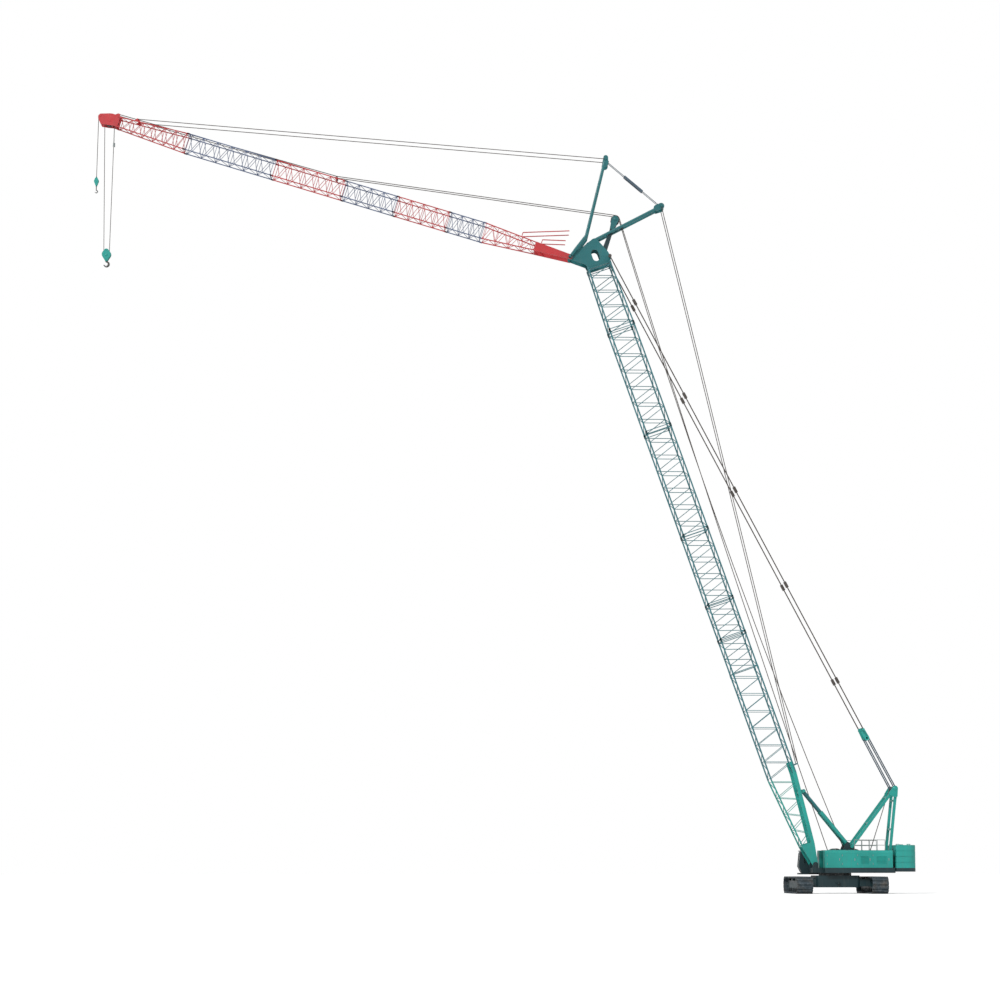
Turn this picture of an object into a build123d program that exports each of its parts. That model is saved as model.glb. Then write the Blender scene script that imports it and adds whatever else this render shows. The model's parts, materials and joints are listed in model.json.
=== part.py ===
"""Lattice-boom crawler crane with a luffing jib, a scale model at 1:2.

Millimetres. The origin is on the ground at the slewing axis, +Z is up, the boom leans
towards -X and the cab is on the +Y side. The tracks run along Y, so the upper works
stand across them.
"""
import os
from math import atan2, cos, degrees, hypot, pi, radians, sin

from build123d import *

os.makedirs("parts", exist_ok=True)

# ---------------------------------------------------------------- driving dimensions
seat_gap = 0.3            # between faces that seat on or run in each other
side_gap = 6              # between moving plates that pass each other

# undercarriage
track_gauge = 3050        # between the middles of the two tracks
track_length = 4450
track_height = 690
shoe_width = 650
shoe_plate = 34           # how far a shoe stands out of the link band
shoe_share = 0.74         # of the pitch that a shoe covers
shoe_pitch = 165
shoe_sink = 10            # how deep a shoe is rooted in the link band
link_band = 36
wheel_width = 260
roller_radius = 100
rollers_per_side = 6
roller_width = 250
track_plate = 34          # side plates of the track frame
track_frame_top = 520
track_frame_bottom = 205
skid_length = 320
carbody_size = 1780       # square centre box
carbody_bottom = 250
carbody_top = 729
beam_width = 380
beam_spread = 1240        # between the two cross beams
beam_bottom = 290
beam_top = 590
tow_plate = 60
tow_bore = 30             # radius of the tow eyes
tow_height = 420

# slewing ring and revolving frame
ring_radius = 665
ring_wall = 130
deck_bottom = 833
deck_top = 1042
deck_front = -1000
deck_rear = 2290
deck_nose_width = 1240    # between the outer sides of the nose that holds the boom foot
house_front = -562
house_rear = 2190
house_inner = 590
house_outer = 1200
house_top = 1750
house_wall = 24
house_round = 110
engine_size = (1050, 420, 520)
cab_deck = 60             # thickness of the deck under the cab
rail_start = 650
rail_end = 1900
rail_bays = 4
rail_height = 430
rail_size = 24
rail_inset = 130

# counterweight
counterweight_front = 2312
counterweight_rear = 3158
counterweight_width = 2600
counterweight_tray = 150
counterweight_bottom = 883
counterweight_top = 1958
counterweight_slabs = 4
slab_groove = 14
counterweight_round = 420

# winches
winch_plate = 40
winch_spread = 840        # between the middles of the two winch plates
winch_top = 1560
winch_front = -300
winch_rear = 1960
drum_shaft = 55
drum_length = 760
drum_flange = 24
# X, Z, barrel radius and flange radius of each drum
drums = (
    (0, 1500, 200, 330),
    (760, 1480, 200, 330),
    (1560, 1330, 170, 280),
)

# gantry
gantry_top = (2433, 4267)
gantry_front_foot = (640, 1900)
gantry_rear_foot = (2150, 1250)
gantry_head_front = (2260, 4060)
gantry_head_rear = (2450, 3970)
gantry_spread = 1000       # between the middles of its legs
gantry_leg = 110
gantry_sheave = 235

# cab
cab_front = -1396
cab_rear = -770
cab_inner = 640
cab_outer = 1200
cab_top = 1708
cab_wall = 22
cab_pillar = 55
cab_nose = 130            # how far the windscreen leans back at its foot
cab_nose_height = 260
cab_round = 90
cab_window_middle = 1410
cab_window_height = 380
windscreen_middle = 1330
windscreen_height = 560
seat_front = -1230
seat_height = 1150
seat_width = 300
glass_thickness = 8
door_front = -1235
door_rear = -835
door_bottom = 885
door_top = 1640
door_gap = 6
hinge_stand = 20          # from the cab's side to the door's hinge line
hinge_radius = 18
hinge_pin = 9
hinge_height = 50
hinge_ear = 20
hinge_levels = (1010, 1500)

# boom
boom_pin = (-875, 1167)
boom_angle = 70.6         # above the horizontal
boom_half = 530           # half the width and depth between chord axes
boom_chord = 60
boom_lace = 24
boom_bay = 762.5          # two lacing bars along one chord
boom_foot_plate = 60
boom_foot_length = 850
boom_foot_depth = 240     # half depth at the end of the foot plates
boom_eye = 110
boom_pin_radius = 45
boom_ear_plate = 40
boom_base_length = 3812.5
boom_insert_lengths = (4575, 1525, 1525, 3050, 4575, 4575)
boom_top_length = 3812.5
boom_head_length = 1050   # of the solid head plates
boom_head_half = (400, 480)
head_plate = 40
idler_arm_y = 130
idler_radius = 215
lace_inset = 60           # from a section's end to its first lacing node

# jib and its struts
jib_pin = (-274, 1028)    # from the boom's top: along the boom, to its front
jib_angle = 16.5
jib_half = 345
jib_chord = 44
jib_lace = 18
jib_foot_length = 1500
jib_base_length = 3812.5
jib_insert_lengths = (1525, 2287.5, 2287.5, 3050, 3812.5)
jib_insert_bays = (3, 4, 4, 5, 6)
jib_base_bays = 4
jib_tip_length = 2125
jib_tip_bays = 4
jib_tip_half = (230, 205)
jib_eye = 95
jib_pin_radius = 35
jib_lug = 60
rear_strut_foot = (95, -183)
rear_strut_tip = (575, -3338)
front_strut_knee = (445, 622)     # from the jib pin, in X and Z
front_strut_tip = (1479, 4250)
strut_chord = 70
strut_foot_plate = 40
rope = 28
pendant_rope = 32

# what hangs from the jib
main_sheave = 190
main_sheave_place = (20150, 60)
aux_sheave = 110
aux_sheave_place = (20560, -30)
main_block_top = 26667
main_block_width = 375
main_block_height = 540
main_hook_bottom = 25875
aux_block_top = 29750
aux_block_width = 200
aux_hook_bottom = 29042

# ---------------------------------------------------------------- frames of reference
track_middles = {"left": -track_gauge / 2, "right": track_gauge / 2}
sides = (-1, 1)


def lean(angle):
    """The directions along and to the front of something that leans to -X."""
    return (-cos(radians(angle)), sin(radians(angle))), (-sin(radians(angle)), -cos(radians(angle)))


def lean_plane(pin, angle):
    """A plane with X up along the leaning piece, Y across the crane and Z to its front."""
    along, front = lean(angle)
    return Plane(origin=(pin[0], 0, pin[1]), x_dir=(along[0], 0, along[1]), z_dir=(front[0], 0, front[1]))


def place(plane, station, front):
    """The X and Z, on the crane, of a place given along a leaning piece."""
    point = plane.from_local_coords(Vector(station, 0, front))
    return point.X, point.Z


def side_planes(plane, *middles):
    """Upright planes along a leaning piece, or along the crane, at those places across it."""
    return [
        Plane(origin=plane.origin + Vector(0, middle, 0), x_dir=plane.x_dir, z_dir=(0, -1, 0))
        for middle in middles
    ]


def across_plane(plane, station):
    """The plane square to a leaning piece at that place along it, with X across the crane."""
    return Plane(origin=plane.origin + plane.x_dir * station, x_dir=(0, 1, 0), z_dir=plane.x_dir)


def both(middle):
    """A place on each side of the crane."""
    return -middle, middle


def run(start, end):
    """The length and the angle above the horizontal, towards -X, of a line in X and Z."""
    along, up = start[0] - end[0], end[1] - start[1]
    return hypot(along, up), degrees(atan2(up, along))


boom_length = boom_base_length + sum(boom_insert_lengths) + boom_top_length
boom_plane = lean_plane(boom_pin, boom_angle)
jib_pin_station = boom_length + jib_pin[0]
jib_pin_place = place(boom_plane, jib_pin_station, jib_pin[1])
jib_plane = lean_plane(jib_pin_place, jib_angle)

# the stays: from the gantry's top to the rear of the boom head
stay_pin = (boom_length - 820, -boom_half)
stay_length, stay_angle = run(gantry_top, place(boom_plane, *stay_pin))
stay_plane = lean_plane(gantry_top, stay_angle)
bridle_start = 2193
bridle_length = 620
bridle_axis = bridle_start + 150
bridle_tail = bridle_start + bridle_length - 90
bridle_sheave = 130
bridle_pin = 45
rope_reach = rope / 2 / cos(radians(30)) + 2 * seat_gap      # out to the middle of a six-sided rope
sheave_step = 130         # across, between the sheaves of the boom hoist
pendant_y = 550           # middle of each pair of pendants
pendant_pair = 80

# the backstops: from the winch plates to the boom's base
backstop_pin = (479, 2000)
backstop_bracket = (2967, -604)
backstop_length, backstop_angle = run(backstop_pin, place(boom_plane, *backstop_bracket))
backstop_plane = lean_plane(backstop_pin, backstop_angle)
backstop_y = 300
backstop_tube = 75
backstop_rod = 48
backstop_tube_length = 1700
backstop_bore_start = 700
backstop_rod_start = 1150
backstop_eye = 75
backstop_eye_width = 110

# the jib's stays
backstay_bracket = (4104, -760)
jib_stay_head = (19000, -330)
rear_tip = place(boom_plane, boom_length + rear_strut_tip[0], rear_strut_tip[1])
front_tip = (jib_pin_place[0] + front_strut_tip[0], jib_pin_place[1] + front_strut_tip[1])
front_knee = (jib_pin_place[0] + front_strut_knee[0], jib_pin_place[1] + front_strut_knee[1])
reeving_length, reeving_angle = run(rear_tip, front_tip)
reeving_plane = lean_plane(rear_tip, reeving_angle)
strut_link_start = 1030
strut_link_length = 1000
strut_tip_y = 250
strut_cheek = 75          # radius of the cheeks at the front strut's tip
strut_cheek_y = 205       # inner face of these cheeks
front_strut_ties = (0.25, 0.62, 0.88)
backstay_y = 295
reeving_y = 90
strut_shaft = 42
link_plate = 50
link_depth = 90
strut_eye_reach = 170
pendant_links = 5
pendant_link_length = 260
pendant_link_width = 110
jib_cheek = 30
jib_pendant_y = 280
main_sheaves_y = (-60, 0, 60)
sheave_width = 44
stop_rod = 40
# start and end of the two stop rods on each side, along the jib and above its axis
stop_rods = (
    ((2190, -410), (350, -1050)),
    ((1320, -350), (380, -600)),
)
hoist_rope = 26
main_fall = 100           # radius of the main hook block's sheave
aux_block_height = 420
hook_share = 0.36         # a hook's radius as a share of its block's width


# ---------------------------------------------------------------- helpers
def prism(start, end, size, count=4, facing=(0, 1, 0)):
    """A straight bar between two points, with a regular section of that size across its flats."""
    axis = Vector(*end) - Vector(*start)
    along = axis.normalized()
    square = Vector(*facing) - along * Vector(*facing).dot(along)
    with BuildPart() as bar:
        with BuildSketch(Plane(origin=start, x_dir=square, z_dir=along)):
            RegularPolygon(size / 2, count, major_radius=False, rotation=180 / count)
        extrude(amount=axis.length)
    return bar.part


def laced_box(near, far, bays, chord, lace, battens=False):
    """Four chords and their lacing, between two frames of a boom or jib.

    A frame is (station, half width, half depth). The lacing is a zigzag on each of the
    four faces; a battened box has cross bars on its two side faces as well.
    """
    length = far[0] - near[0]

    def corner(share, across, deep):
        station, width, depth = (a + (b - a) * share for a, b in zip(near, far))
        return station, across * width, deep * depth

    slope = hypot(near[1] - far[1], near[2] - far[2]) / length
    trim = (seat_gap / 2 + chord / 2 * 1.1 * slope) / length
    bars = [
        prism(corner(trim, across, deep), corner(1 - trim, across, deep), chord, 8)
        for across in sides
        for deep in sides
    ]
    inset = lace_inset / length
    steps = [inset + (1 - 2 * inset) * i / (2 * bays) for i in range(2 * bays + 1)]
    for i, (low, high) in enumerate(zip(steps, steps[1:])):
        way = 1 if i % 2 else -1
        for face in sides:
            bars.append(prism(corner(low, face, -way), corner(high, face, way), lace))
            bars.append(prism(corner(low, -way, face), corner(high, way, face), lace, facing=(0, 0, 1)))
    if battens:
        for share in steps[::2]:
            bars += [prism(corner(share, face, -1), corner(share, face, 1), lace) for face in sides]
    return bars


def finish(builder, name):
    """Label a piece and write it."""
    builder.part.label = name
    export_step(builder.part, f"parts/{name}.step")


# ---------------------------------------------------------------- undercarriage
end_radius = track_height / 2 - shoe_plate          # outside of the link band round the end wheels
wheel_radius = end_radius - link_band - seat_gap
track_run = track_length - track_height             # between the end wheels' axles
shoes_per_run = round(track_run / shoe_pitch)
shoes_per_end = round(pi * end_radius / shoe_pitch)
shoe_length = shoe_share * track_run / shoes_per_run
roller_height = shoe_plate + link_band + seat_gap + roller_radius
frame_inside = wheel_width / 2 + seat_gap
frame_outside = frame_inside + track_plate

for side, middle in track_middles.items():
    loop_origin = (middle - shoe_width / 2, 0, track_height / 2)
    loop_plane = Plane(origin=loop_origin, x_dir=(0, 1, 0), z_dir=(1, 0, 0))
    with BuildPart() as track:
        with BuildSketch(loop_plane):
            SlotCenterToCenter(track_run, 2 * end_radius)
            with GridLocations(
                track_run / shoes_per_run, track_height - shoe_plate - shoe_sink, shoes_per_run, 2
            ):
                Rectangle(shoe_length, shoe_plate + shoe_sink)
            for end in sides:
                turn = 180 / shoes_per_end
                with Locations((end * track_run / 2, 0)):
                    with PolarLocations(
                        (track_height - shoe_plate - shoe_sink) / 2,
                        shoes_per_end,
                        start_angle=turn / 2 - 90 * end,
                        angular_range=180,
                    ):
                        Rectangle(shoe_plate + shoe_sink, shoe_length)
            SlotCenterToCenter(track_run, 2 * (end_radius - link_band), mode=Mode.SUBTRACT)
        extrude(amount=shoe_width)
    finish(track, f"track_{side}")

    # end wheels and rollers, which run between the side plates of the track frame
    wheels_plane = Plane(origin=(middle, 0, 0), x_dir=(0, 1, 0), z_dir=(1, 0, 0))
    with BuildPart() as wheels:
        with BuildSketch(wheels_plane):
            with Locations((-track_run / 2, track_height / 2)):
                Circle(wheel_radius)
        extrude(amount=wheel_width / 2, both=True)
        with BuildSketch(wheels_plane):
            with Locations((track_run / 2, track_height / 2)):
                RegularPolygon(wheel_radius, 11)
        extrude(amount=wheel_width / 2, both=True)
        with BuildSketch(wheels_plane):
            with Locations((0, roller_height)):
                with GridLocations(track_run / (rollers_per_side + 1), 0, rollers_per_side, 1):
                    Circle(roller_radius)
        extrude(amount=roller_width / 2, both=True)
    finish(wheels, f"track_wheels_{side}")

    # a channel whose side plates carry every axle, closed on top between the end wheels
    with BuildPart() as frame:
        with BuildSketch(wheels_plane):
            with Locations((0, (track_frame_top + track_frame_bottom) / 2)):
                SlotOverall(track_length - 2 * wheel_radius, track_frame_top - track_frame_bottom)
        extrude(amount=frame_outside, both=True)
        with BuildSketch(wheels_plane):
            with Locations((0, track_frame_bottom)):
                Rectangle(track_length, 2 * (track_frame_top - track_frame_bottom - 3 * track_plate))
            for end in sides:
                with Locations((end * track_run / 2, track_height / 2)):
                    Circle(wheel_radius + 2 * track_plate)
        extrude(amount=frame_inside, both=True, mode=Mode.SUBTRACT)
        with BuildSketch(wheels_plane.offset(-frame_outside)):
            with Locations((0, track_frame_top)):
                with GridLocations(track_run / 3, 0, 2, 1):
                    Rectangle(
                        skid_length,
                        track_height - link_band - shoe_plate - track_frame_top - seat_gap,
                        align=(Align.CENTER, Align.MIN),
                    )
        extrude(amount=2 * frame_outside)
    finish(frame, f"track_frame_{side}")

# the centre box, its cross beams out to the track frames, and the towing eyes at both ends
beam_reach = track_gauge / 2 - frame_outside - seat_gap
with BuildPart() as carbody:
    with BuildSketch(Plane.XY.offset(carbody_bottom)):
        RectangleRounded(carbody_size, carbody_size, 120)
    extrude(amount=carbody_top - carbody_bottom)
    with BuildSketch(Plane.YZ.offset(-beam_reach)):
        with Locations((0, (beam_bottom + beam_top) / 2)):
            with GridLocations(beam_spread, 0, 2, 1):
                Rectangle(beam_width, beam_top - beam_bottom)
    extrude(amount=2 * beam_reach)
    with BuildSketch(Plane.XY.offset(tow_height - tow_plate / 2)):
        with GridLocations(0, carbody_size + 4 * tow_bore, 1, 2):
            Circle(2.4 * tow_bore)
        with GridLocations(0, carbody_size, 1, 2):
            Rectangle(4.8 * tow_bore, 4 * tow_bore)
        with GridLocations(0, carbody_size + 4 * tow_bore, 1, 2):
            Circle(tow_bore, mode=Mode.SUBTRACT)
    extrude(amount=tow_plate)
finish(carbody, "carbody")

with BuildPart() as slewing_ring:
    with BuildSketch(Plane.XY.offset(carbody_top)):
        Circle(ring_radius)
        Circle(ring_radius - ring_wall, mode=Mode.SUBTRACT)
    extrude(amount=deck_bottom - carbody_top - seat_gap)
finish(slewing_ring, "slewing_ring")

# ---------------------------------------------------------------- revolving frame and houses
foot_inner_ear = boom_half - boom_foot_plate / 2 - seat_gap - boom_ear_plate / 2
foot_outer_ear = boom_half + boom_foot_plate / 2 + seat_gap + boom_ear_plate / 2
ear_planes = side_planes(Plane.XY, *both(foot_inner_ear), *both(foot_outer_ear))
with BuildPart() as revolving_frame:
    with BuildSketch(Plane.XY.offset(deck_bottom)):
        with Locations(((house_front + deck_rear) / 2, 0)):
            Rectangle(deck_rear - house_front, 2 * house_outer)
        with Locations(((deck_front + house_front) / 2, 0)):
            Rectangle(house_front - deck_front, deck_nose_width)
    extrude(amount=deck_top - deck_bottom)
    with BuildSketch(Plane.XY.offset(deck_bottom - cab_deck)):
        with Locations((cab_front, cab_inner)):
            Rectangle(deck_front - cab_front, cab_outer - cab_inner, align=(Align.MIN, Align.MIN))
        with Locations((deck_front, deck_nose_width / 2 - cab_deck)):
            Rectangle(
                house_front - deck_front + cab_deck,
                cab_outer - deck_nose_width / 2 + cab_deck,
                align=(Align.MIN, Align.MIN),
            )
    extrude(amount=cab_deck)
    with BuildSketch(*ear_planes):
        with Locations(boom_pin):
            Circle(boom_eye)
        with Locations((boom_pin[0], deck_top)):
            Rectangle(2 * boom_eye, 2 * (boom_pin[1] - deck_top))
    extrude(amount=boom_ear_plate / 2, both=True)
    with BuildSketch(*side_planes(Plane.XY, 0)):
        with Locations(boom_pin):
            Circle(boom_pin_radius)
    extrude(amount=foot_outer_ear + boom_ear_plate, both=True)
    with BuildSketch(*side_planes(Plane.XY, 0)):
        with Locations(boom_pin):
            Circle(boom_pin_radius)
    extrude(amount=foot_inner_ear - boom_ear_plate, both=True, mode=Mode.SUBTRACT)
finish(revolving_frame, "revolving_frame")

for side, way in (("left", -1), ("right", 1)):
    middle = way * (house_inner + house_outer) / 2
    with BuildPart() as house:
        with BuildSketch(Plane.XY.offset(deck_top)):
            with Locations(((house_front + house_rear) / 2, middle)):
                Rectangle(house_rear - house_front, house_outer - house_inner)
        extrude(amount=house_top - deck_top)
        roof_edges = house.edges().group_by(Axis.Z)[-1].filter_by(Axis.X).sort_by(Axis.Y)
        fillet(roof_edges[-1 if way > 0 else 0], house_round)
        offset(amount=-house_wall, openings=house.faces().sort_by(Axis.Z)[0])
    finish(house, f"house_{side}")

with BuildPart() as engine_block:
    with Locations(((house_rear - engine_size[0]), -(house_inner + house_outer) / 2, deck_top)):
        Box(*engine_size, align=(Align.CENTER, Align.CENTER, Align.MIN))
finish(engine_block, "engine_block")

# handrails round each roof: posts, a knee rail and a top rail in one welded frame
rail_places = [rail_start + i * (rail_end - rail_start) / rail_bays for i in range(rail_bays + 1)]
with BuildPart() as handrails:
    rails = []
    for y in both(house_outer - rail_inset):
        rails += [
            prism((x, y, house_top + seat_gap), (x, y, house_top + rail_height), rail_size)
            for x in rail_places
        ]
        for height in (rail_height, rail_height / 2):
            level = house_top + height - rail_size / 2
            rails.append(prism((rail_start, y, level), (rail_end, y, level), rail_size))
    add(rails)
finish(handrails, "handrails")

# ---------------------------------------------------------------- counterweight
with BuildPart() as counterweight_base:
    with BuildSketch(Plane.XY.offset(counterweight_bottom)):
        with Locations(((counterweight_front + counterweight_rear) / 2, 0)):
            Rectangle(counterweight_rear - counterweight_front, counterweight_width)
    extrude(amount=counterweight_tray)
    rear_corners = counterweight_base.edges().filter_by(Axis.Z).group_by(Axis.X)[-1]
    fillet(rear_corners, counterweight_round)
    # hooks over the rear of the revolving frame
    with BuildSketch(*side_planes(Plane.XY, *both(winch_spread / 2), *both(house_outer - 200))):
        with Locations((deck_rear + seat_gap, counterweight_bottom)):
            Rectangle(counterweight_front - deck_rear, counterweight_tray, align=(Align.MIN, Align.MIN))
    extrude(amount=60, both=True)
finish(counterweight_base, "counterweight_base")

slab_height = (counterweight_top - counterweight_bottom - counterweight_tray) / counterweight_slabs
with BuildPart() as counterweight_stack:
    for i in range(counterweight_slabs):
        level = counterweight_bottom + counterweight_tray + seat_gap + i * slab_height
        with BuildSketch(Plane.XY.offset(level)):
            with Locations(((counterweight_front + counterweight_rear) / 2, 0)):
                Rectangle(counterweight_rear - counterweight_front, counterweight_width)
            fillet(vertices().group_by(Axis.X)[-1], counterweight_round)
        extrude(amount=slab_height - slab_groove)
        with BuildSketch(Plane.XY.offset(level)):
            with Locations(((counterweight_front + counterweight_rear) / 2, 0)):
                Rectangle(
                    counterweight_rear - counterweight_front - 2 * slab_groove,
                    counterweight_width - 2 * slab_groove,
                )
            fillet(vertices().group_by(Axis.X)[-1], counterweight_round)
        extrude(amount=slab_height)
finish(counterweight_stack, "counterweight_slabs")

# ---------------------------------------------------------------- winches
# two long plates carry the drums, the backstops' pins and the gantry's front feet
with BuildPart() as winch_frames:
    with BuildSketch(*side_planes(Plane.XY, *both(winch_spread / 2))):
        with BuildLine():
            Polyline(
                (winch_front, deck_top),
                (winch_rear, deck_top),
                (winch_rear, winch_top - 100),
                (gantry_front_foot[0] + 260, winch_top),
                (gantry_front_foot[0] + 90, gantry_front_foot[1]),
                (backstop_pin[0] - 100, backstop_pin[1]),
                (backstop_pin[0] - 280, winch_top),
                (winch_front, winch_top),
                close=True,
            )
        make_face()
        with Locations(backstop_pin, gantry_front_foot):
            Circle(90)
        with Locations(*[(x, z) for x, z, *_ in drums]):
            Circle(drum_shaft + seat_gap, mode=Mode.SUBTRACT)
    extrude(amount=winch_plate / 2, both=True)
    with BuildSketch(*side_planes(Plane.XY, 0)):
        with Locations(backstop_pin):
            Circle(35)
    extrude(amount=winch_spread / 2, both=True)
finish(winch_frames, "winch_frames")

with BuildPart() as winch_drums:
    for x, z, barrel, flange in drums:
        with BuildSketch(*side_planes(Plane.XY, 0)):
            with Locations((x, z)):
                Circle(barrel)
        extrude(amount=drum_length / 2, both=True)
        with BuildSketch(*side_planes(Plane.XY, *both(drum_length / 2))):
            with Locations((x, z)):
                Circle(flange)
        extrude(amount=drum_flange / 2, both=True)
        with BuildSketch(*side_planes(Plane.XY, 0)):
            with Locations((x, z)):
                Circle(drum_shaft)
        extrude(amount=(winch_spread + winch_plate) / 2, both=True)
finish(winch_drums, "winch_drums")

# ---------------------------------------------------------------- gantry
gantry_y = gantry_spread / 2
gantry_plate_y = gantry_y + gantry_leg / 2 + seat_gap + 25


def legs(foot, head, ties):
    """A pair of gantry legs with cross ties at those shares of their length."""
    bars = [prism((foot[0], y, foot[1]), (head[0], y, head[1]), gantry_leg) for y in both(gantry_y)]
    for share in ties:
        x, z = (a + (b - a) * share for a, b in zip(foot, head))
        bars.append(prism((x, -gantry_y, z), (x, gantry_y, z), gantry_leg * 0.7, facing=(1, 0, 0)))
    return bars


with BuildPart() as gantry_front:
    with BuildSketch(*side_planes(Plane.XY, *both(gantry_y))):
        with Locations(gantry_front_foot):
            Circle(gantry_leg / 2 + 10)
    extrude(amount=gantry_leg / 2 - 0.1 * gantry_leg, both=True)
    add(legs(gantry_front_foot, gantry_head_front, (0.45, 0.93)))
finish(gantry_front, "gantry_front_legs")

with BuildPart() as gantry_rear:
    add(legs(gantry_rear_foot, gantry_head_rear, (0.1, 0.5, 0.93)))
    with BuildSketch(Plane.XY.offset(deck_top + seat_gap)):
        with GridLocations(0, gantry_spread, 1, 2):
            with Locations((gantry_rear_foot[0] - gantry_leg * 0.6, 0)):
                Rectangle(gantry_leg, gantry_leg * 1.3)
    extrude(amount=gantry_rear_foot[1] - deck_top + gantry_leg)
finish(gantry_rear, "gantry_rear_legs")

hoist_sheaves_y = (*both(sheave_step), *both(2 * sheave_step))
with BuildPart() as gantry_head:
    with BuildSketch(*side_planes(Plane.XY, *both(gantry_plate_y))):
        with Locations(gantry_top):
            Circle(gantry_leg)
        with Locations(gantry_head_front, gantry_head_rear):
            Circle(gantry_leg * 0.62)
        make_hull()
    extrude(amount=25, both=True)
    with BuildSketch(*side_planes(Plane.XY, 0)):
        with Locations(gantry_top):
            Circle(50)
    extrude(amount=gantry_plate_y, both=True)
    with BuildSketch(*side_planes(Plane.XY, *hoist_sheaves_y)):
        with Locations(gantry_top):
            Circle(gantry_sheave)
    extrude(amount=sheave_width / 2, both=True)
finish(gantry_head, "gantry_head")

# ---------------------------------------------------------------- cab
cab_floor = deck_bottom + seat_gap
cab_middle = (cab_inner + cab_outer) / 2
cab_width = cab_outer - cab_inner


def cab_outline(inside):
    """The cab's outline from the side, that far inside its skin."""
    with BuildLine() as line:
        Polyline(
            (cab_rear - inside, cab_floor + inside),
            (cab_front + cab_nose + inside, cab_floor + inside),
            (cab_front + inside, cab_floor + cab_nose_height),
            (cab_front + cab_nose / 2 + inside, cab_top - inside),
            (cab_rear - inside, cab_top - inside),
            close=True,
        )
    return make_face(line.edges(), mode=Mode.PRIVATE)


with BuildPart() as cab_shell:
    with BuildSketch(*side_planes(Plane.XY, cab_middle)):
        add(cab_outline(0))
        fillet(vertices().sort_by(Axis.X)[:3], cab_round)
    extrude(amount=cab_width / 2, both=True)
    with BuildSketch(*side_planes(Plane.XY, cab_middle)):
        add(cab_outline(cab_wall))
        fillet(vertices().sort_by(Axis.X)[:3], cab_round - cab_wall)
    extrude(amount=cab_width / 2 - cab_wall, both=True, mode=Mode.SUBTRACT)
    # side windows, right through both sides
    with BuildSketch(*side_planes(Plane.XY, cab_inner)):
        with Locations(((door_front + door_rear) / 2, cab_window_middle)):
            RectangleRounded(door_rear - door_front - 2 * cab_pillar, cab_window_height, 40)
    extrude(amount=-2 * cab_wall, mode=Mode.SUBTRACT)
    # the doorway
    with BuildSketch(*side_planes(Plane.XY, cab_outer)):
        with Locations(((door_front + door_rear) / 2, (door_bottom + door_top) / 2)):
            Rectangle(door_rear - door_front, door_top - door_bottom)
    extrude(amount=2 * cab_wall, mode=Mode.SUBTRACT)
    # the windscreen
    with BuildSketch(Plane.YZ.offset(cab_front - 10)):
        with Locations((cab_middle, windscreen_middle)):
            RectangleRounded(cab_width - 2 * cab_pillar, windscreen_height, 40)
    extrude(amount=cab_nose + 40, mode=Mode.SUBTRACT)
    # hinge pins between two ears each
    for level in hinge_levels:
        ear_levels = (level - hinge_height / 2 - seat_gap - hinge_ear, level + hinge_height / 2 + seat_gap)
        with BuildSketch(*[Plane.XY.offset(ear_level) for ear_level in ear_levels]):
            with Locations((door_rear, cab_outer + hinge_stand)):
                Circle(hinge_radius)
            with Locations((door_rear, cab_outer)):
                Rectangle(2 * hinge_radius, hinge_stand, align=(Align.MIN, Align.MIN))
        extrude(amount=hinge_ear)
        with BuildSketch(Plane.XY.offset(level - hinge_height / 2 - hinge_ear)):
            with Locations((door_rear, cab_outer + hinge_stand)):
                Circle(hinge_pin)
        extrude(amount=hinge_height + 2 * hinge_ear)
finish(cab_shell, "cab_shell")

with BuildPart() as cab_glass:
    with BuildSketch(*side_planes(Plane.XY, cab_inner + cab_wall / 2)):
        with Locations(((door_front + door_rear) / 2, cab_window_middle)):
            RectangleRounded(
                door_rear - door_front - 2 * cab_pillar - 2 * seat_gap, cab_window_height - 2 * seat_gap, 40
            )
    extrude(amount=glass_thickness / 2, both=True)
finish(cab_glass, "cab_glass")

with BuildPart() as cab_door:
    with BuildSketch(*side_planes(Plane.XY, cab_outer - cab_wall / 2)):
        with Locations(((door_front + door_rear) / 2, (door_bottom + door_top) / 2)):
            Rectangle(door_rear - door_front - 2 * door_gap, door_top - door_bottom - 2 * door_gap)
        with Locations(((door_front + door_rear) / 2, cab_window_middle)):
            RectangleRounded(
                door_rear - door_front - 2 * cab_pillar, cab_window_height, 40, mode=Mode.SUBTRACT
            )
    extrude(amount=cab_wall / 2, both=True)
    with BuildSketch(*side_planes(Plane.XY, cab_outer - cab_wall / 2)):
        with Locations(((door_front + door_rear) / 2, cab_window_middle)):
            Rectangle(door_rear - door_front - 1.6 * cab_pillar, cab_window_height + 0.4 * cab_pillar)
    extrude(amount=glass_thickness / 2, both=True)
    for level in hinge_levels:
        with BuildSketch(Plane.XY.offset(level - hinge_height / 2)):
            with Locations((door_rear, cab_outer + hinge_stand)):
                Circle(hinge_radius)
            with Locations((door_rear - 2 * hinge_radius, cab_outer - cab_wall / 2)):
                Rectangle(2 * hinge_radius, cab_wall / 2 + hinge_stand, align=(Align.MIN, Align.MIN))
            with Locations((door_rear - door_gap, cab_outer - cab_wall)):
                Rectangle(3 * hinge_radius, cab_wall + 1, align=(Align.MIN, Align.MIN), mode=Mode.SUBTRACT)
            with Locations((door_rear, cab_outer + hinge_stand)):
                Circle(hinge_pin + seat_gap, mode=Mode.SUBTRACT)
        extrude(amount=hinge_height)
finish(cab_door, "cab_door")

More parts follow.
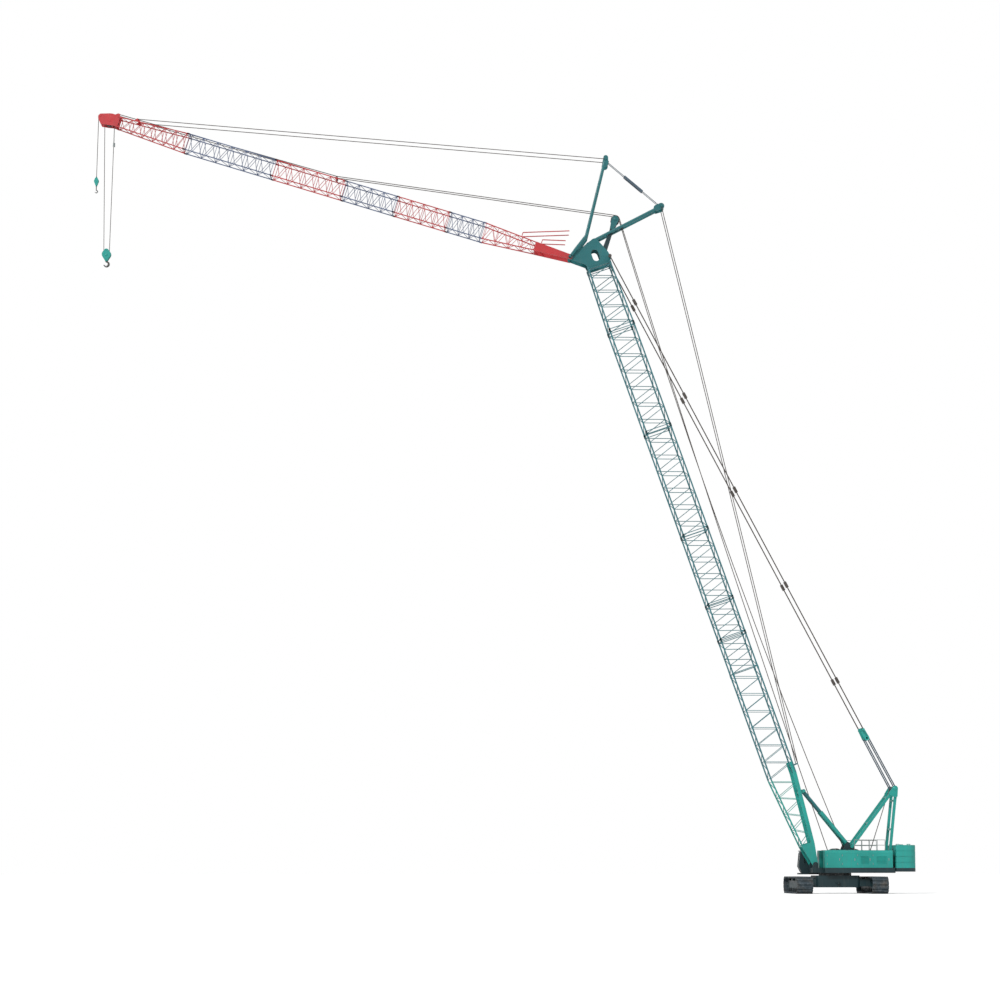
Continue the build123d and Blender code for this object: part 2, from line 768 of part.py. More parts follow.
with BuildPart() as cab_seat:
    with BuildSketch(*side_planes(Plane.XY, cab_middle)):
        with BuildLine():
            Polyline(
                (seat_front, seat_height),
                (seat_front, seat_height - 70),
                (seat_front + 110, seat_height - 70),
                (seat_front + 110, cab_floor + cab_wall + seat_gap),
                (seat_front + 230, cab_floor + cab_wall + seat_gap),
                (seat_front + 230, seat_height - 70),
                (seat_front + 340, seat_height - 70),
                (seat_front + 400, seat_height + 330),
                (seat_front + 340, seat_height + 330),
                (seat_front + 280, seat_height),
                close=True,
            )
        make_face()
    extrude(amount=seat_width / 2, both=True)
finish(cab_seat, "cab_seat")

# ---------------------------------------------------------------- boom
def boom_depth(station):
    """Half the boom's depth, which grows from the foot plates to the base's far end."""
    share = (station - boom_foot_length) / (boom_base_length - boom_foot_length)
    return boom_foot_depth + share * (boom_half - boom_foot_depth)


foot_bars = laced_box(
    (boom_foot_length, boom_half, boom_foot_depth),
    (boom_base_length, boom_half, boom_half),
    round((boom_base_length - boom_foot_length) / boom_bay),
    boom_chord,
    boom_lace,
)
backstop_beam = -boom_depth(backstop_bracket[0])
for deep in both(boom_foot_depth):
    station = boom_foot_length + boom_chord / 2
    foot_bars.append(
        prism((station, -boom_half, deep), (station, boom_half, deep), boom_chord, facing=(1, 0, 0))
    )
foot_bars.append(
    prism(
        (backstop_bracket[0], -boom_half, backstop_beam),
        (backstop_bracket[0], boom_half, backstop_beam),
        1.5 * boom_chord,
        facing=(1, 0, 0),
    )
)
lug_y = backstop_y + backstop_eye_width / 2 + side_gap + 15
with BuildPart(boom_plane) as boom_base_lattice:
    add(foot_bars)
with BuildPart() as boom_base:
    add(boom_base_lattice.part)
    with BuildSketch(*side_planes(boom_plane, *both(boom_half))):
        Circle(boom_eye)
        with Locations((boom_foot_length + boom_chord / 2, 0)):
            Rectangle(boom_chord, 2 * boom_foot_depth + boom_chord)
        make_hull()
        Circle(boom_pin_radius + seat_gap, mode=Mode.SUBTRACT)
    extrude(amount=boom_foot_plate / 2, both=True)
    with BuildSketch(*side_planes(boom_plane, *both(lug_y))):
        with Locations(backstop_bracket, (backstop_bracket[0], backstop_beam)):
            Circle(60)
        make_hull()
    extrude(amount=15, both=True)
finish(boom_base, "boom_base")

station = boom_base_length
for number, length in enumerate(boom_insert_lengths, 1):
    frames = (station, boom_half, boom_half), (station + length, boom_half, boom_half)
    bars = laced_box(*frames, round(length / boom_bay), boom_chord, boom_lace)
    if number == 1:
        bars.append(
            prism(
                (backstay_bracket[0], -boom_half, -boom_half),
                (backstay_bracket[0], boom_half, -boom_half),
                1.4 * boom_chord,
                facing=(1, 0, 0),
            )
        )
        for y in both(backstay_y):
            post_foot = (backstay_bracket[0], y, -boom_half)
            bars.append(prism(post_foot, (backstay_bracket[0], y, backstay_bracket[1]), boom_chord))
    with BuildPart(boom_plane) as boom_insert:
        add(bars)
    finish(boom_insert, f"boom_insert_{number}")
    station += length

head_station = boom_length - boom_head_length
with BuildPart(boom_plane) as boom_top:
    add(
        laced_box(
            (station, boom_half, boom_half),
            (head_station, *boom_head_half),
            round((head_station - station) / boom_bay),
            boom_chord,
            boom_lace,
        )
    )
finish(boom_top, "boom_top")

head_plate_y = jib_half - jib_lug / 2 - seat_gap - head_plate / 2
strut_foot = (boom_length + rear_strut_foot[0], rear_strut_foot[1])
jib_pin_reach = jib_half + jib_lug / 2 + seat_gap + strut_foot_plate + head_plate / 2
with BuildPart() as boom_head:
    with BuildSketch(*side_planes(boom_plane, *both(head_plate_y))):
        with BuildLine():
            Polyline(
                (head_station, -boom_head_half[1]),
                (stay_pin[0], stay_pin[1] - 60),
                (stay_pin[0] + 250, stay_pin[1] - 20),
                (strut_foot[0] + 40, strut_foot[1] - 80),
                (strut_foot[0] + 60, strut_foot[1] + 60),
                (boom_length - 60, 450),
                (jib_pin_station + jib_eye, jib_pin[1] - 40),
                (jib_pin_station - jib_eye, jib_pin[1] + 20),
                (head_station + 250, boom_head_half[1] + 40),
                (head_station, boom_head_half[1]),
                close=True,
            )
        make_face()
        with Locations((jib_pin_station, jib_pin[1])):
            Circle(jib_eye)
        with Locations((head_station + 500, 0)):
            SlotOverall(500, 300, mode=Mode.SUBTRACT)
    extrude(amount=head_plate / 2, both=True)
    with BuildSketch(across_plane(boom_plane, head_station)):
        Rectangle(2 * boom_head_half[0] + boom_chord, 2 * boom_head_half[1] + boom_chord)
        Rectangle(
            2 * boom_head_half[0] - 3 * boom_chord,
            2 * boom_head_half[1] - 3 * boom_chord,
            mode=Mode.SUBTRACT,
        )
    extrude(amount=40)
    for point, radius, reach in (
        (stay_pin, 40, pendant_y - pendant_pair / 2 - pendant_rope / 2 - side_gap),
        (strut_foot, 35, head_plate_y),
        ((jib_pin_station, jib_pin[1]), jib_pin_radius, jib_pin_reach),
    ):
        with BuildSketch(*side_planes(boom_plane, 0)):
            with Locations(point):
                Circle(radius)
        extrude(amount=reach, both=True)
finish(boom_head, "boom_head")

# the sheaves behind the boom's top, on an arm from the head plates
idler_foot = (boom_length - 404, -467)
idler_place = (boom_length + 668, -1313)
with BuildPart() as boom_idler:
    with BuildSketch(*side_planes(boom_plane, *both(idler_arm_y))):
        with Locations(idler_foot):
            Circle(90)
        with Locations(idler_place):
            Circle(70)
        make_hull()
    extrude(amount=20, both=True)
    with BuildSketch(*side_planes(boom_plane, 0)):
        with Locations(idler_place, idler_foot):
            Circle(35)
    extrude(amount=idler_arm_y, both=True)
    with BuildSketch(*side_planes(boom_plane, 0)):
        with Locations(idler_foot):
            Circle(35)
    extrude(amount=head_plate_y - head_plate / 2 - seat_gap, both=True)
    with BuildSketch(*side_planes(boom_plane, *both(50))):
        with Locations(idler_place):
            Circle(idler_radius)
    extrude(amount=28, both=True)
finish(boom_idler, "boom_idler")

# ---------------------------------------------------------------- rear strut and its backstays
rear_foot = place(boom_plane, *strut_foot)


def strut_bars(points, spreads, ties, size):
    """Two legs through those points in X and Z, at those places across, with ties between them."""
    bars = []
    for start, end, near, far in zip(points, points[1:], spreads, spreads[1:]):
        for way in sides:
            bars.append(prism((start[0], way * near, start[1]), (end[0], way * far, end[1]), size, 8))
    start, end, near, far = points[-2], points[-1], spreads[-2], spreads[-1]
    for share in ties:
        x, z, y = (a + (b - a) * share for a, b in zip((*start, near), (*end, far)))
        bars.append(prism((x, -y, z), (x, y, z), size * 0.6, facing=(1, 0, 0)))
    return bars


rear_strut_y = head_plate_y - head_plate / 2 - seat_gap - 30
with BuildPart() as rear_strut:
    add(strut_bars((rear_foot, rear_tip), (rear_strut_y, rear_strut_y), (0.45, 0.72, 1), strut_chord * 0.8))
    with BuildSketch(*side_planes(Plane.XY, *both(rear_strut_y))):
        with Locations(rear_foot, rear_tip):
            Circle(strut_chord * 0.9)
    extrude(amount=29, both=True)
    with BuildSketch(*side_planes(Plane.XY, 0)):
        with Locations(rear_foot):
            Circle(35 + seat_gap)
    extrude(amount=head_plate_y, both=True, mode=Mode.SUBTRACT)
    with BuildSketch(*side_planes(Plane.XY, 0)):
        with Locations(rear_tip):
            Circle(strut_shaft)
    extrude(amount=backstay_y + 25, both=True)
finish(rear_strut, "rear_strut")

stay_foot = place(boom_plane, *backstay_bracket)
stay_vector = Vector(stay_foot[0] - rear_tip[0], 0, stay_foot[1] - rear_tip[1])
stay_step = stay_vector.normalized()
with BuildPart() as backstays:
    for y in both(backstay_y):
        top = Vector(rear_tip[0], y, rear_tip[1]) + stay_step * (strut_shaft + seat_gap)
        foot = Vector(stay_foot[0], y, stay_foot[1]) - stay_step * (30 + seat_gap)
        add(prism(top, foot, rope, 6))
finish(backstays, "backstays")

# ---------------------------------------------------------------- jib
def jib_depth(station):
    """Half the jib's depth, which grows from the foot to the base's far end."""
    return jib_eye * 0.6 + (jib_half - jib_eye * 0.6) * station / jib_base_length


jib_foot_half = jib_depth(jib_foot_length)
# stop rods above the foot, on posts from its top edges
stops = []
for y in both(jib_half):
    for start, end in stop_rods:
        stops.append(prism((start[0], y, start[1]), (end[0], y, end[1]), stop_rod, 8))
        stops.append(prism((start[0], y, start[1]), (start[0], y, -jib_depth(start[0])), stop_rod * 0.8))
with BuildPart(jib_plane) as jib_base_lattice:
    foot_tie = jib_foot_length + jib_chord / 2
    add(
        laced_box(
            (jib_foot_length, jib_half, jib_foot_half),
            (jib_base_length, jib_half, jib_half),
            jib_base_bays,
            jib_chord,
            jib_lace,
            battens=True,
        )
    )
    add(
        [
            prism((foot_tie, -jib_half, deep), (foot_tie, jib_half, deep), jib_chord, facing=(1, 0, 0))
            for deep in both(jib_foot_half)
        ]
    )
    add(stops)
with BuildPart() as jib_base:
    add(jib_base_lattice.part)
    with BuildSketch(*side_planes(jib_plane, *both(jib_half))):
        Circle(jib_eye)
        with Locations((jib_foot_length + jib_chord / 2, 0)):
            Rectangle(jib_chord, 2 * jib_foot_half + jib_chord)
        make_hull()
        Circle(jib_pin_radius + seat_gap, mode=Mode.SUBTRACT)
    extrude(amount=jib_lug / 2, both=True)
finish(jib_base, "jib_base")

station = jib_base_length
for number, (length, bays) in enumerate(zip(jib_insert_lengths, jib_insert_bays), 1):
    frames = (station, jib_half, jib_half), (station + length, jib_half, jib_half)
    with BuildPart(jib_plane) as jib_insert:
        add(laced_box(*frames, bays, jib_chord, jib_lace, battens=True))
    finish(jib_insert, f"jib_insert_{number}")
    station += length

jib_head_station = station + jib_tip_length
with BuildPart(jib_plane) as jib_tip:
    add(
        laced_box(
            (station, jib_half, jib_half),
            (jib_head_station, *jib_tip_half),
            jib_tip_bays,
            jib_chord,
            jib_lace,
            battens=True,
        )
    )
finish(jib_tip, "jib_tip")

jib_cheek_y = jib_tip_half[0] - 20
with BuildPart() as jib_head:
    with BuildSketch(*side_planes(jib_plane, *both(jib_cheek_y))):
        with BuildLine():
            Polyline(
                (jib_head_station, -jib_tip_half[1] - jib_chord / 2),
                (jib_stay_head[0] - 60, jib_stay_head[1]),
                (jib_stay_head[0] + 60, jib_stay_head[1] - 60),
                (jib_stay_head[0] + 300, -jib_tip_half[1] - jib_chord / 2),
                (main_sheave_place[0], -jib_tip_half[1]),
                (aux_sheave_place[0], aux_sheave_place[1] - 70),
                (aux_sheave_place[0], aux_sheave_place[1] + 70),
                (main_sheave_place[0] + 60, main_sheave_place[1] + 120),
                (main_sheave_place[0] - 120, jib_tip_half[1]),
                (jib_head_station, jib_tip_half[1] + jib_chord / 2),
                close=True,
            )
        make_face()
        with Locations(aux_sheave_place):
            Circle(70)
        with Locations((jib_head_station + 520, 0)):
            SlotOverall(520, 200, mode=Mode.SUBTRACT)
    extrude(amount=jib_cheek / 2, both=True)
    with BuildSketch(*side_planes(jib_plane, 0)):
        with Locations((jib_head_station + 20, -jib_tip_half[1]), (jib_head_station + 20, jib_tip_half[1])):
            Rectangle(40, jib_chord)
        with Locations(main_sheave_place):
            Circle(30)
        with Locations(aux_sheave_place):
            Circle(22)
    extrude(amount=jib_tip_half[0] + jib_chord / 2, both=True)
    with BuildSketch(*side_planes(jib_plane, 0)):
        with Locations(jib_stay_head):
            Circle(22)
    extrude(amount=jib_pendant_y - rope / 2 - side_gap, both=True)
finish(jib_head, "jib_head")

with BuildPart() as jib_sheaves:
    with BuildSketch(*side_planes(jib_plane, *main_sheaves_y)):
        with Locations(main_sheave_place):
            Circle(main_sheave)
            Circle(30 + seat_gap, mode=Mode.SUBTRACT)
    extrude(amount=sheave_width / 2, both=True)
    with BuildSketch(*side_planes(jib_plane, 0)):
        with Locations(aux_sheave_place):
            Circle(aux_sheave)
            Circle(22 + seat_gap, mode=Mode.SUBTRACT)
    extrude(amount=sheave_width / 2, both=True)
finish(jib_sheaves, "jib_head_sheaves")

# ---------------------------------------------------------------- front strut and the jib's pendants
front_foot_y = jib_half + jib_lug / 2 + seat_gap + strut_foot_plate / 2
with BuildPart() as front_strut:
    add(
        strut_bars(
            (jib_pin_place, front_knee, front_tip),
            (front_foot_y, front_foot_y, strut_tip_y),
            front_strut_ties,
            strut_foot_plate * 1.6,
        )
    )
    with BuildSketch(*side_planes(Plane.XY, *both(front_foot_y + strut_foot_plate))):
        with Locations(jib_pin_place):
            Rectangle(4 * jib_eye, 4 * jib_eye)
    extrude(amount=strut_foot_plate / 2, both=True, mode=Mode.SUBTRACT)
    with BuildSketch(*side_planes(Plane.XY, *both(front_foot_y - strut_foot_plate))):
        with Locations(jib_pin_place):
            Rectangle(4 * jib_eye, 4 * jib_eye)
    extrude(amount=strut_foot_plate / 2, both=True, mode=Mode.SUBTRACT)
    with BuildSketch(*side_planes(Plane.XY, *both(front_foot_y))):
        with Locations(jib_pin_place):
            Circle(jib_eye * 0.8)
    extrude(amount=strut_foot_plate / 2, both=True)
    with BuildSketch(*side_planes(Plane.XY, 0)):
        with Locations(jib_pin_place):
            Circle(jib_pin_radius + seat_gap)
    extrude(amount=front_foot_y + strut_foot_plate, both=True, mode=Mode.SUBTRACT)
    # cheeks on both sides of the reeving's eye, each with a pin outwards for its pendant
    for way, plane in zip(sides, side_planes(Plane.XY, *both(strut_cheek_y))):
        with BuildSketch(plane):
            with Locations(front_tip):
                Circle(strut_cheek)
        extrude(amount=-way * (strut_tip_y - strut_cheek_y))
        with BuildSketch(plane):
            with Locations(front_tip):
                Circle(strut_shaft)
        extrude(amount=-way * (strut_tip_y + 60 - strut_cheek_y))
finish(front_strut, "front_strut")

jib_stay_place = place(jib_plane, *jib_stay_head)
jib_stay_vector = Vector(jib_stay_place[0] - front_tip[0], 0, jib_stay_place[1] - front_tip[1])
jib_stay_step = jib_stay_vector.normalized()
with BuildPart() as jib_pendants:
    for y in both(jib_pendant_y):
        top = Vector(front_tip[0], y, front_tip[1]) + jib_stay_step * (strut_shaft + seat_gap)
        foot = Vector(jib_stay_place[0], y, jib_stay_place[1])
        add(prism(top, foot, rope, 6))
finish(jib_pendants, "jib_pendants")

# ---------------------------------------------------------------- reeving between the struts' tips
with BuildPart(reeving_plane) as lower_reeving:
    start = strut_shaft + seat_gap
    end = strut_link_start - seat_gap
    add([prism((start, y, 0), (end, y, 0), rope, 6) for y in both(reeving_y)])
finish(lower_reeving, "strut_reeving_lower")

with BuildPart(reeving_plane) as strut_link:
    with Locations((strut_link_start + strut_link_length / 2, 0, 0)):
        with GridLocations(0, 2 * reeving_y, 1, 2):
            Box(strut_link_length, link_plate, link_depth)
        for end in both(strut_link_length / 2 - link_depth / 2):
            with Locations((end, 0, 0)):
                Box(link_depth, 2 * reeving_y, link_depth)
finish(strut_link, "strut_link")

with BuildPart(reeving_plane) as upper_reeving:
    start = strut_link_start + strut_link_length + seat_gap
    end = reeving_length - strut_eye_reach - seat_gap
    add([prism((start, y, 0), (end, y, 0), rope, 6) for y in both(reeving_y)])
finish(upper_reeving, "strut_reeving_upper")

with BuildPart() as strut_eyes:
    with BuildSketch(*side_planes(reeving_plane, 0)):
        with Locations((reeving_length - strut_eye_reach / 2, 0)):
            Rectangle(strut_eye_reach, link_depth)
        with Locations((reeving_length, 0)):
            Circle(link_depth / 2)
    extrude(amount=strut_cheek_y - seat_gap, both=True)
finish(strut_eyes, "strut_eye")

# ---------------------------------------------------------------- boom stays
with BuildPart(stay_plane) as stay_reeving:
    add(
        [
            prism(
                (0, y, way * (gantry_sheave + rope_reach)),
                (bridle_axis, y, way * (bridle_sheave + rope_reach)),
                rope,
                6,
            )
            for y in hoist_sheaves_y
            for way in sides
        ]
    )
finish(stay_reeving, "stay_reeving")

with BuildPart() as bridle:
    with BuildSketch(*side_planes(stay_plane, 0, *both(2.5 * sheave_step))):
        with Locations((bridle_axis, 0)):
            Circle(bridle_sheave + 20)
        with Locations((bridle_tail, 0)):
            Circle(80)
        make_hull()
    extrude(amount=12, both=True)
    with BuildSketch(*side_planes(stay_plane, *hoist_sheaves_y)):
        with Locations((bridle_axis, 0)):
            Circle(bridle_sheave)
    extrude(amount=sheave_width / 2, both=True)
    with BuildSketch(*side_planes(stay_plane, 0)):
        with Locations((bridle_axis, 0)):
            Circle(40)
    extrude(amount=2.5 * sheave_step + 12, both=True)
    with BuildSketch(*side_planes(stay_plane, 0)):
        with Locations((bridle_tail, 0)):
            Circle(bridle_pin)
    extrude(amount=pendant_y + pendant_pair, both=True)
finish(bridle, "bridle")

pendant_start = bridle_tail + bridle_pin + seat_gap
pendant_step = (stay_length - pendant_start) / pendant_links
links = [pendant_start + (i + 0.5) * pendant_step for i in range(pendant_links)]
pendants_y = (*both(pendant_y - pendant_pair / 2), *both(pendant_y + pendant_pair / 2))
with BuildPart() as boom_pendants:
    with BuildSketch(*side_planes(stay_plane, *pendants_y)):
        with Locations((stay_length, 0)):
            Circle(70)
    extrude(amount=pendant_rope / 2, both=True)
    with BuildSketch(*side_planes(stay_plane, *both(pendant_y))):
        with Locations(*[(link, 0) for link in links]):
            Rectangle(pendant_link_length, pendant_link_width)
    extrude(amount=pendant_pair / 2 + pendant_rope / 2, both=True)
    with BuildSketch(across_plane(stay_plane, pendant_start)):
        with GridLocations(2 * pendant_y, 0, 2, 1):
            with GridLocations(pendant_pair, 0, 2, 1):
                RegularPolygon(pendant_rope / 2, 6, major_radius=False)
    extrude(amount=stay_length - pendant_start)
finish(boom_pendants, "boom_pendants")

# ---------------------------------------------------------------- backstops
with BuildPart() as backstop_tubes:
    for y in both(backstop_y):
        with BuildSketch(across_plane(backstop_plane, 0)):
            with Locations((y, 0)):
                Circle(backstop_tube)
        extrude(amount=backstop_tube_length)
        with BuildSketch(*side_planes(backstop_plane, y)):
            Circle(backstop_eye)
        extrude(amount=backstop_eye_width / 2, both=True)
        with BuildSketch(across_plane(backstop_plane, backstop_bore_start)):
            with Locations((y, 0)):
                Circle(backstop_rod + seat_gap)
        extrude(amount=backstop_tube_length, mode=Mode.SUBTRACT)
    with BuildSketch(*side_planes(backstop_plane, 0)):
        Circle(35 + seat_gap)
    extrude(amount=2 * backstop_y, both=True, mode=Mode.SUBTRACT)
finish(backstop_tubes, "backstop_tubes")

with BuildPart() as backstop_rods:
    with BuildSketch(across_plane(backstop_plane, backstop_rod_start)):
        with Locations(*[(y, 0) for y in both(backstop_y)]):
            Circle(backstop_rod)
    extrude(amount=backstop_length - backstop_rod_start)
    with BuildSketch(*side_planes(backstop_plane, *both(backstop_y))):
        with Locations((backstop_length, 0)):
            Circle(backstop_eye)
    extrude(amount=backstop_eye_width / 2, both=True)
finish(backstop_rods, "backstop_rods")

# ---------------------------------------------------------------- hooks and their ropes
main_top = place(jib_plane, *main_sheave_place)
aux_top = place(jib_plane, *aux_sheave_place)
with BuildPart() as main_ropes:
    add(
        [
            prism(
                (main_top[0] + way * (main_sheave + hoist_rope / 2 + seat_gap), 0, main_top[1]),
                (
                    main_top[0] + way * (main_fall + hoist_rope / 2 + seat_gap),
                    0,
                    main_block_top - main_block_height / 2,
                ),
                hoist_rope,
            )
            for way in sides
        ]
    )
finish(main_ropes, "main_hook_ropes")

with BuildPart() as aux_ropes:
    x = aux_top[0] - aux_sheave - hoist_rope / 2 - seat_gap
    add(prism((x, 0, aux_top[1]), (x, 0, aux_block_top + seat_gap), hoist_rope))
finish(aux_ropes, "aux_hook_rope")
# name, middle X, top, width and height, bottom and sheave radius of each hook block; a block with no
# sheave hangs from a socket at its top
main_size = main_block_width, main_block_height
aux_size = aux_block_width, aux_block_height
hooks = (
    ("main_hook", main_top[0], main_block_top, main_size, main_hook_bottom, main_fall),
    ("aux_hook", x, aux_block_top, aux_size, aux_hook_bottom, 0),
)
for name, middle, top, (width, height), bottom, sheave in hooks:
    hook_radius = width * hook_share
    eye = (middle, bottom + hook_radius)
    cheek_y = width * 0.16
    with BuildPart() as hook:
        with BuildSketch(*side_planes(Plane.XY, *both(cheek_y))):
            with Locations((middle, top - height / 2)):
                RectangleRounded(width, height, width * 0.3)
        extrude(amount=width * 0.05, both=True)
        with BuildSketch(*side_planes(Plane.XY, 0)):
            with Locations((middle, top - height / 2)):
                Circle(sheave or width * 0.3)
        extrude(amount=cheek_y, both=True)
        shank_top = top - height / 2 if sheave else top
        with BuildSketch(*side_planes(Plane.XY, 0)):
            with Locations((middle, eye[1] + hook_radius * 0.6)):
                Rectangle(
                    hook_radius * 0.6,
                    shank_top - eye[1] - hook_radius * 0.6,
                    align=(Align.CENTER, Align.MIN),
                )
            with Locations(eye):
                Circle(hook_radius)
                Circle(hook_radius * 0.5, mode=Mode.SUBTRACT)
            with Locations((eye[0] - hook_radius * 0.7, eye[1] + hook_radius * 0.35)):
                Rectangle(hook_radius * 0.9, hook_radius * 0.5, mode=Mode.SUBTRACT)
        extrude(amount=hook_radius * 0.25, both=True)
    finish(hook, name)
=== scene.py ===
"""Looks of a lattice-boom crawler crane with a luffing jib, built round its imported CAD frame.

Metres. The origin is on the ground at the slewing axis, +Z is up, the boom leans towards -X
and the cab is on the +Y side.
"""

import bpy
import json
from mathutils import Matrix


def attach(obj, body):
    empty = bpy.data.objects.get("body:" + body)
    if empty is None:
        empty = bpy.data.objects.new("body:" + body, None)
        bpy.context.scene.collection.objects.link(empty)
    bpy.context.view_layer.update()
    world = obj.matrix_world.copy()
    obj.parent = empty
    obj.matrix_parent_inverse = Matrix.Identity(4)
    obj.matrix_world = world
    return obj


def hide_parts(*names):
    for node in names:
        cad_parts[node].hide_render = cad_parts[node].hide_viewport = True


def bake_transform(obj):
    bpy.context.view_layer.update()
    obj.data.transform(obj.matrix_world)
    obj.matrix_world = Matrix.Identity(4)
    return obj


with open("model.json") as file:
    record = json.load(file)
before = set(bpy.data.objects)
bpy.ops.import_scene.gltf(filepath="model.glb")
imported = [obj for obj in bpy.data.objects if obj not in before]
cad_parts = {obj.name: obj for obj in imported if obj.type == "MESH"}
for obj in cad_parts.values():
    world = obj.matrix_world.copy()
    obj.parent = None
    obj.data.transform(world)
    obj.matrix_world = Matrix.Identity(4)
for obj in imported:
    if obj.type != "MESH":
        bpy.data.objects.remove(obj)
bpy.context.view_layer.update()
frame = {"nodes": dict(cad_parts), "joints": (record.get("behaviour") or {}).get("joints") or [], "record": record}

import json
from math import acos, atan2, cos, degrees, hypot, pi, radians, sin

import bpy
from mathutils import Vector

joints = {joint["name"]: joint for joint in frame["joints"]}
sides = (-1, 1)

# -------------------- driving dimensions
smooth_angle = 40         # degrees, up to which a piece's surface is smooth

# booms and their lattices
boom_angle = 70.6         # above the horizontal
jib_angle = 16.5
boom_half = 0.53          # half the width and depth between chord axes
boom_chord = 0.062
boom_lace = 0.031
boom_head_half = (0.4, 0.48)        # half the width and half the depth where the lattice meets the head
jib_half = 0.345
jib_chord = 0.046
jib_lace = 0.023
jib_tip_half = (0.23, 0.205)
section_margin = 0.06     # from a section's end to its first lacing node
base_start = (0.85, 0.24)           # plates at the boom's base: station, and half the depth there
base_end = 3.8125
base_plates_end = 4.3
base_plate_depth = 0.15
half_base_chord = 0.03

# ropes and sheaves in general
hoist_rope = 0.026
line_rope = 0.034         # hoist ropes away from the hooks
stay_rope = 0.028
sheave_width = 0.044
flange = 0.012            # how far a sheave's flanges stand out past the rope's inner side

# undercarriage
track_gauge = 3.05
track_height = 0.69
track_run = 3.76          # between the end wheels' axles
shoe_width = 0.65
shoe_height = 0.034
shoe_length = 0.121
shoes_per_run = 23
shoes_per_end = 6
link_band = 0.036
link_pin = 0.014
frame_side = 0.1643       # from a track's middle to the outside of its frame
rollers_per_side = 6
roller_level = 0.2363

# houses, handrails, counterweight, winches and cab
house_outer = 1.2
house_front = -0.562
house_rear = 2.19
house_sill = 1.046
door_middle = 1.37
door_height = 0.5
rail_posts = (0.65, 0.3125, 5)      # X of the first post, their pitch and how many there are
rail_y = 1.07
rail_foot = 1.7503
rail_levels = (1.953, 2.166)
rail_radius = 0.012
lug_foot = 1.95
lug_radius = 0.014
drum_length = 0.76
drums = ((0.0, 1.5, 0.2), (0.76, 1.48, 0.2), (1.56, 1.33, 0.17))     # X, Z and barrel radius
winch_plate_y = 0.44
cab_front = -1.396
cab_inner = 0.64
cab_outer = 1.2
cab_floor = 0.87
cab_roof = 1.704

# gantry and main stays; stations along the stays start at the gantry's top
gantry_top = Vector((2.433, 0, 4.267))
gantry_plate_y = 0.5803
gantry_sheave = 0.085
stay_angle = 62.296       # above the horizontal
bridle_axis = 2.343
bridle_tail = 2.723
bridle_sheave = 0.075
hoist_sheaves_y = (-0.26, -0.13, 0.13, 0.26)

# heads of the boom and jib: each place is a station and a place to the front
idler_place = (28.118, -1.313)
idler_foot = (27.046, -0.467)
idler_neck = 0.74         # share of the way from the foot to the top
idler_sheave = 0.17
idler_y = 0.14
idler_plate_y = idler_y + 0.045
guide_place = (27.38, 0.06)
guide_sheave = 0.19
guides_y = (-0.06, 0.0, 0.06)
main_sheave_place = (20.15, 0.06)
main_sheave = 0.19
main_sheaves_y = (-0.06, 0.0, 0.06)
aux_sheave_place = (20.56, -0.03)
aux_sheave = 0.084
rope_guide = (10.35, -0.41)         # on the jib's top, under its hoist ropes
head_guide = (19.84, -0.265)
guide_roller = 0.05
jib_rope_y = 0.13
jib_head_station = 19.745
jib_head_plate_y = 0.21
jib_head_plate = 0.035
jib_stay_head = (19.0, -0.33)

# hooks
main_x = -30.2087
aux_x = -30.7
block_sheave = 0.1

# struts: the front one from the jib's pin, the rear one as a station and a place to the boom's front
jib_pin = Vector((-10.8714, 0, 26.4586))
front_knee = Vector((0.671, 0, 0.891))
front_tip = Vector((1.479, 0, 4.25))
front_foot_y = 0.3953
front_tip_y = 0.25
rear_foot = (27.545, -0.183)
rear_tip = (28.025, -3.338)
rear_strut_y = 0.2444
rear_bar_y = 0.224
strut_line_angle = 40.3   # of the ropes between their tips, above the horizontal
strut_rope_y = 0.09


# -------------------- frames of reference
def pin(joint):
    """Where a joint's axis crosses the middle of the crane."""
    return Vector(joints[joint]["pos_m"])


class Lean:
    """A leaning piece's own frame: along it, across the crane and to its front."""

    def __init__(self, origin, angle):
        self.origin = origin
        self.along = Vector((-cos(radians(angle)), 0, sin(radians(angle))))
        self.front = Vector((-sin(radians(angle)), 0, -cos(radians(angle))))

    def at(self, station, across=0.0, deep=0.0):
        return self.origin + self.along * station + Vector((0, across, 0)) + self.front * deep

    def spot(self, place, across=0.0):
        """The point at a place given as (station, place to the front)."""
        return self.at(place[0], across, place[1])

    def station(self, point):
        return (Vector(point) - self.origin).dot(self.along)


boom_line = Lean(pin("boom_luff"), boom_angle)
jib_line = Lean(pin("jib_luff"), jib_angle)
stay_line = Lean(gantry_top, stay_angle)
strut_line = Lean(pin("strut_reeving_swing"), strut_line_angle)
level = Lean(Vector((0, 0, 0)), 180)        # plain X and Z, with the front upwards


# -------------------- materials
def linear(*srgb):
    """A colour given as it looks on a screen, from 0 to 255, as the shader wants it."""
    shares = [value / 255 for value in srgb]
    return (*[s / 12.92 if s <= 0.04045 else ((s + 0.055) / 1.055) ** 2.4 for s in shares], 1)


def shade(colour, factor):
    """The same colour, lighter or darker."""
    return (*[min(1, channel * factor) for channel in colour[:3]], 1)


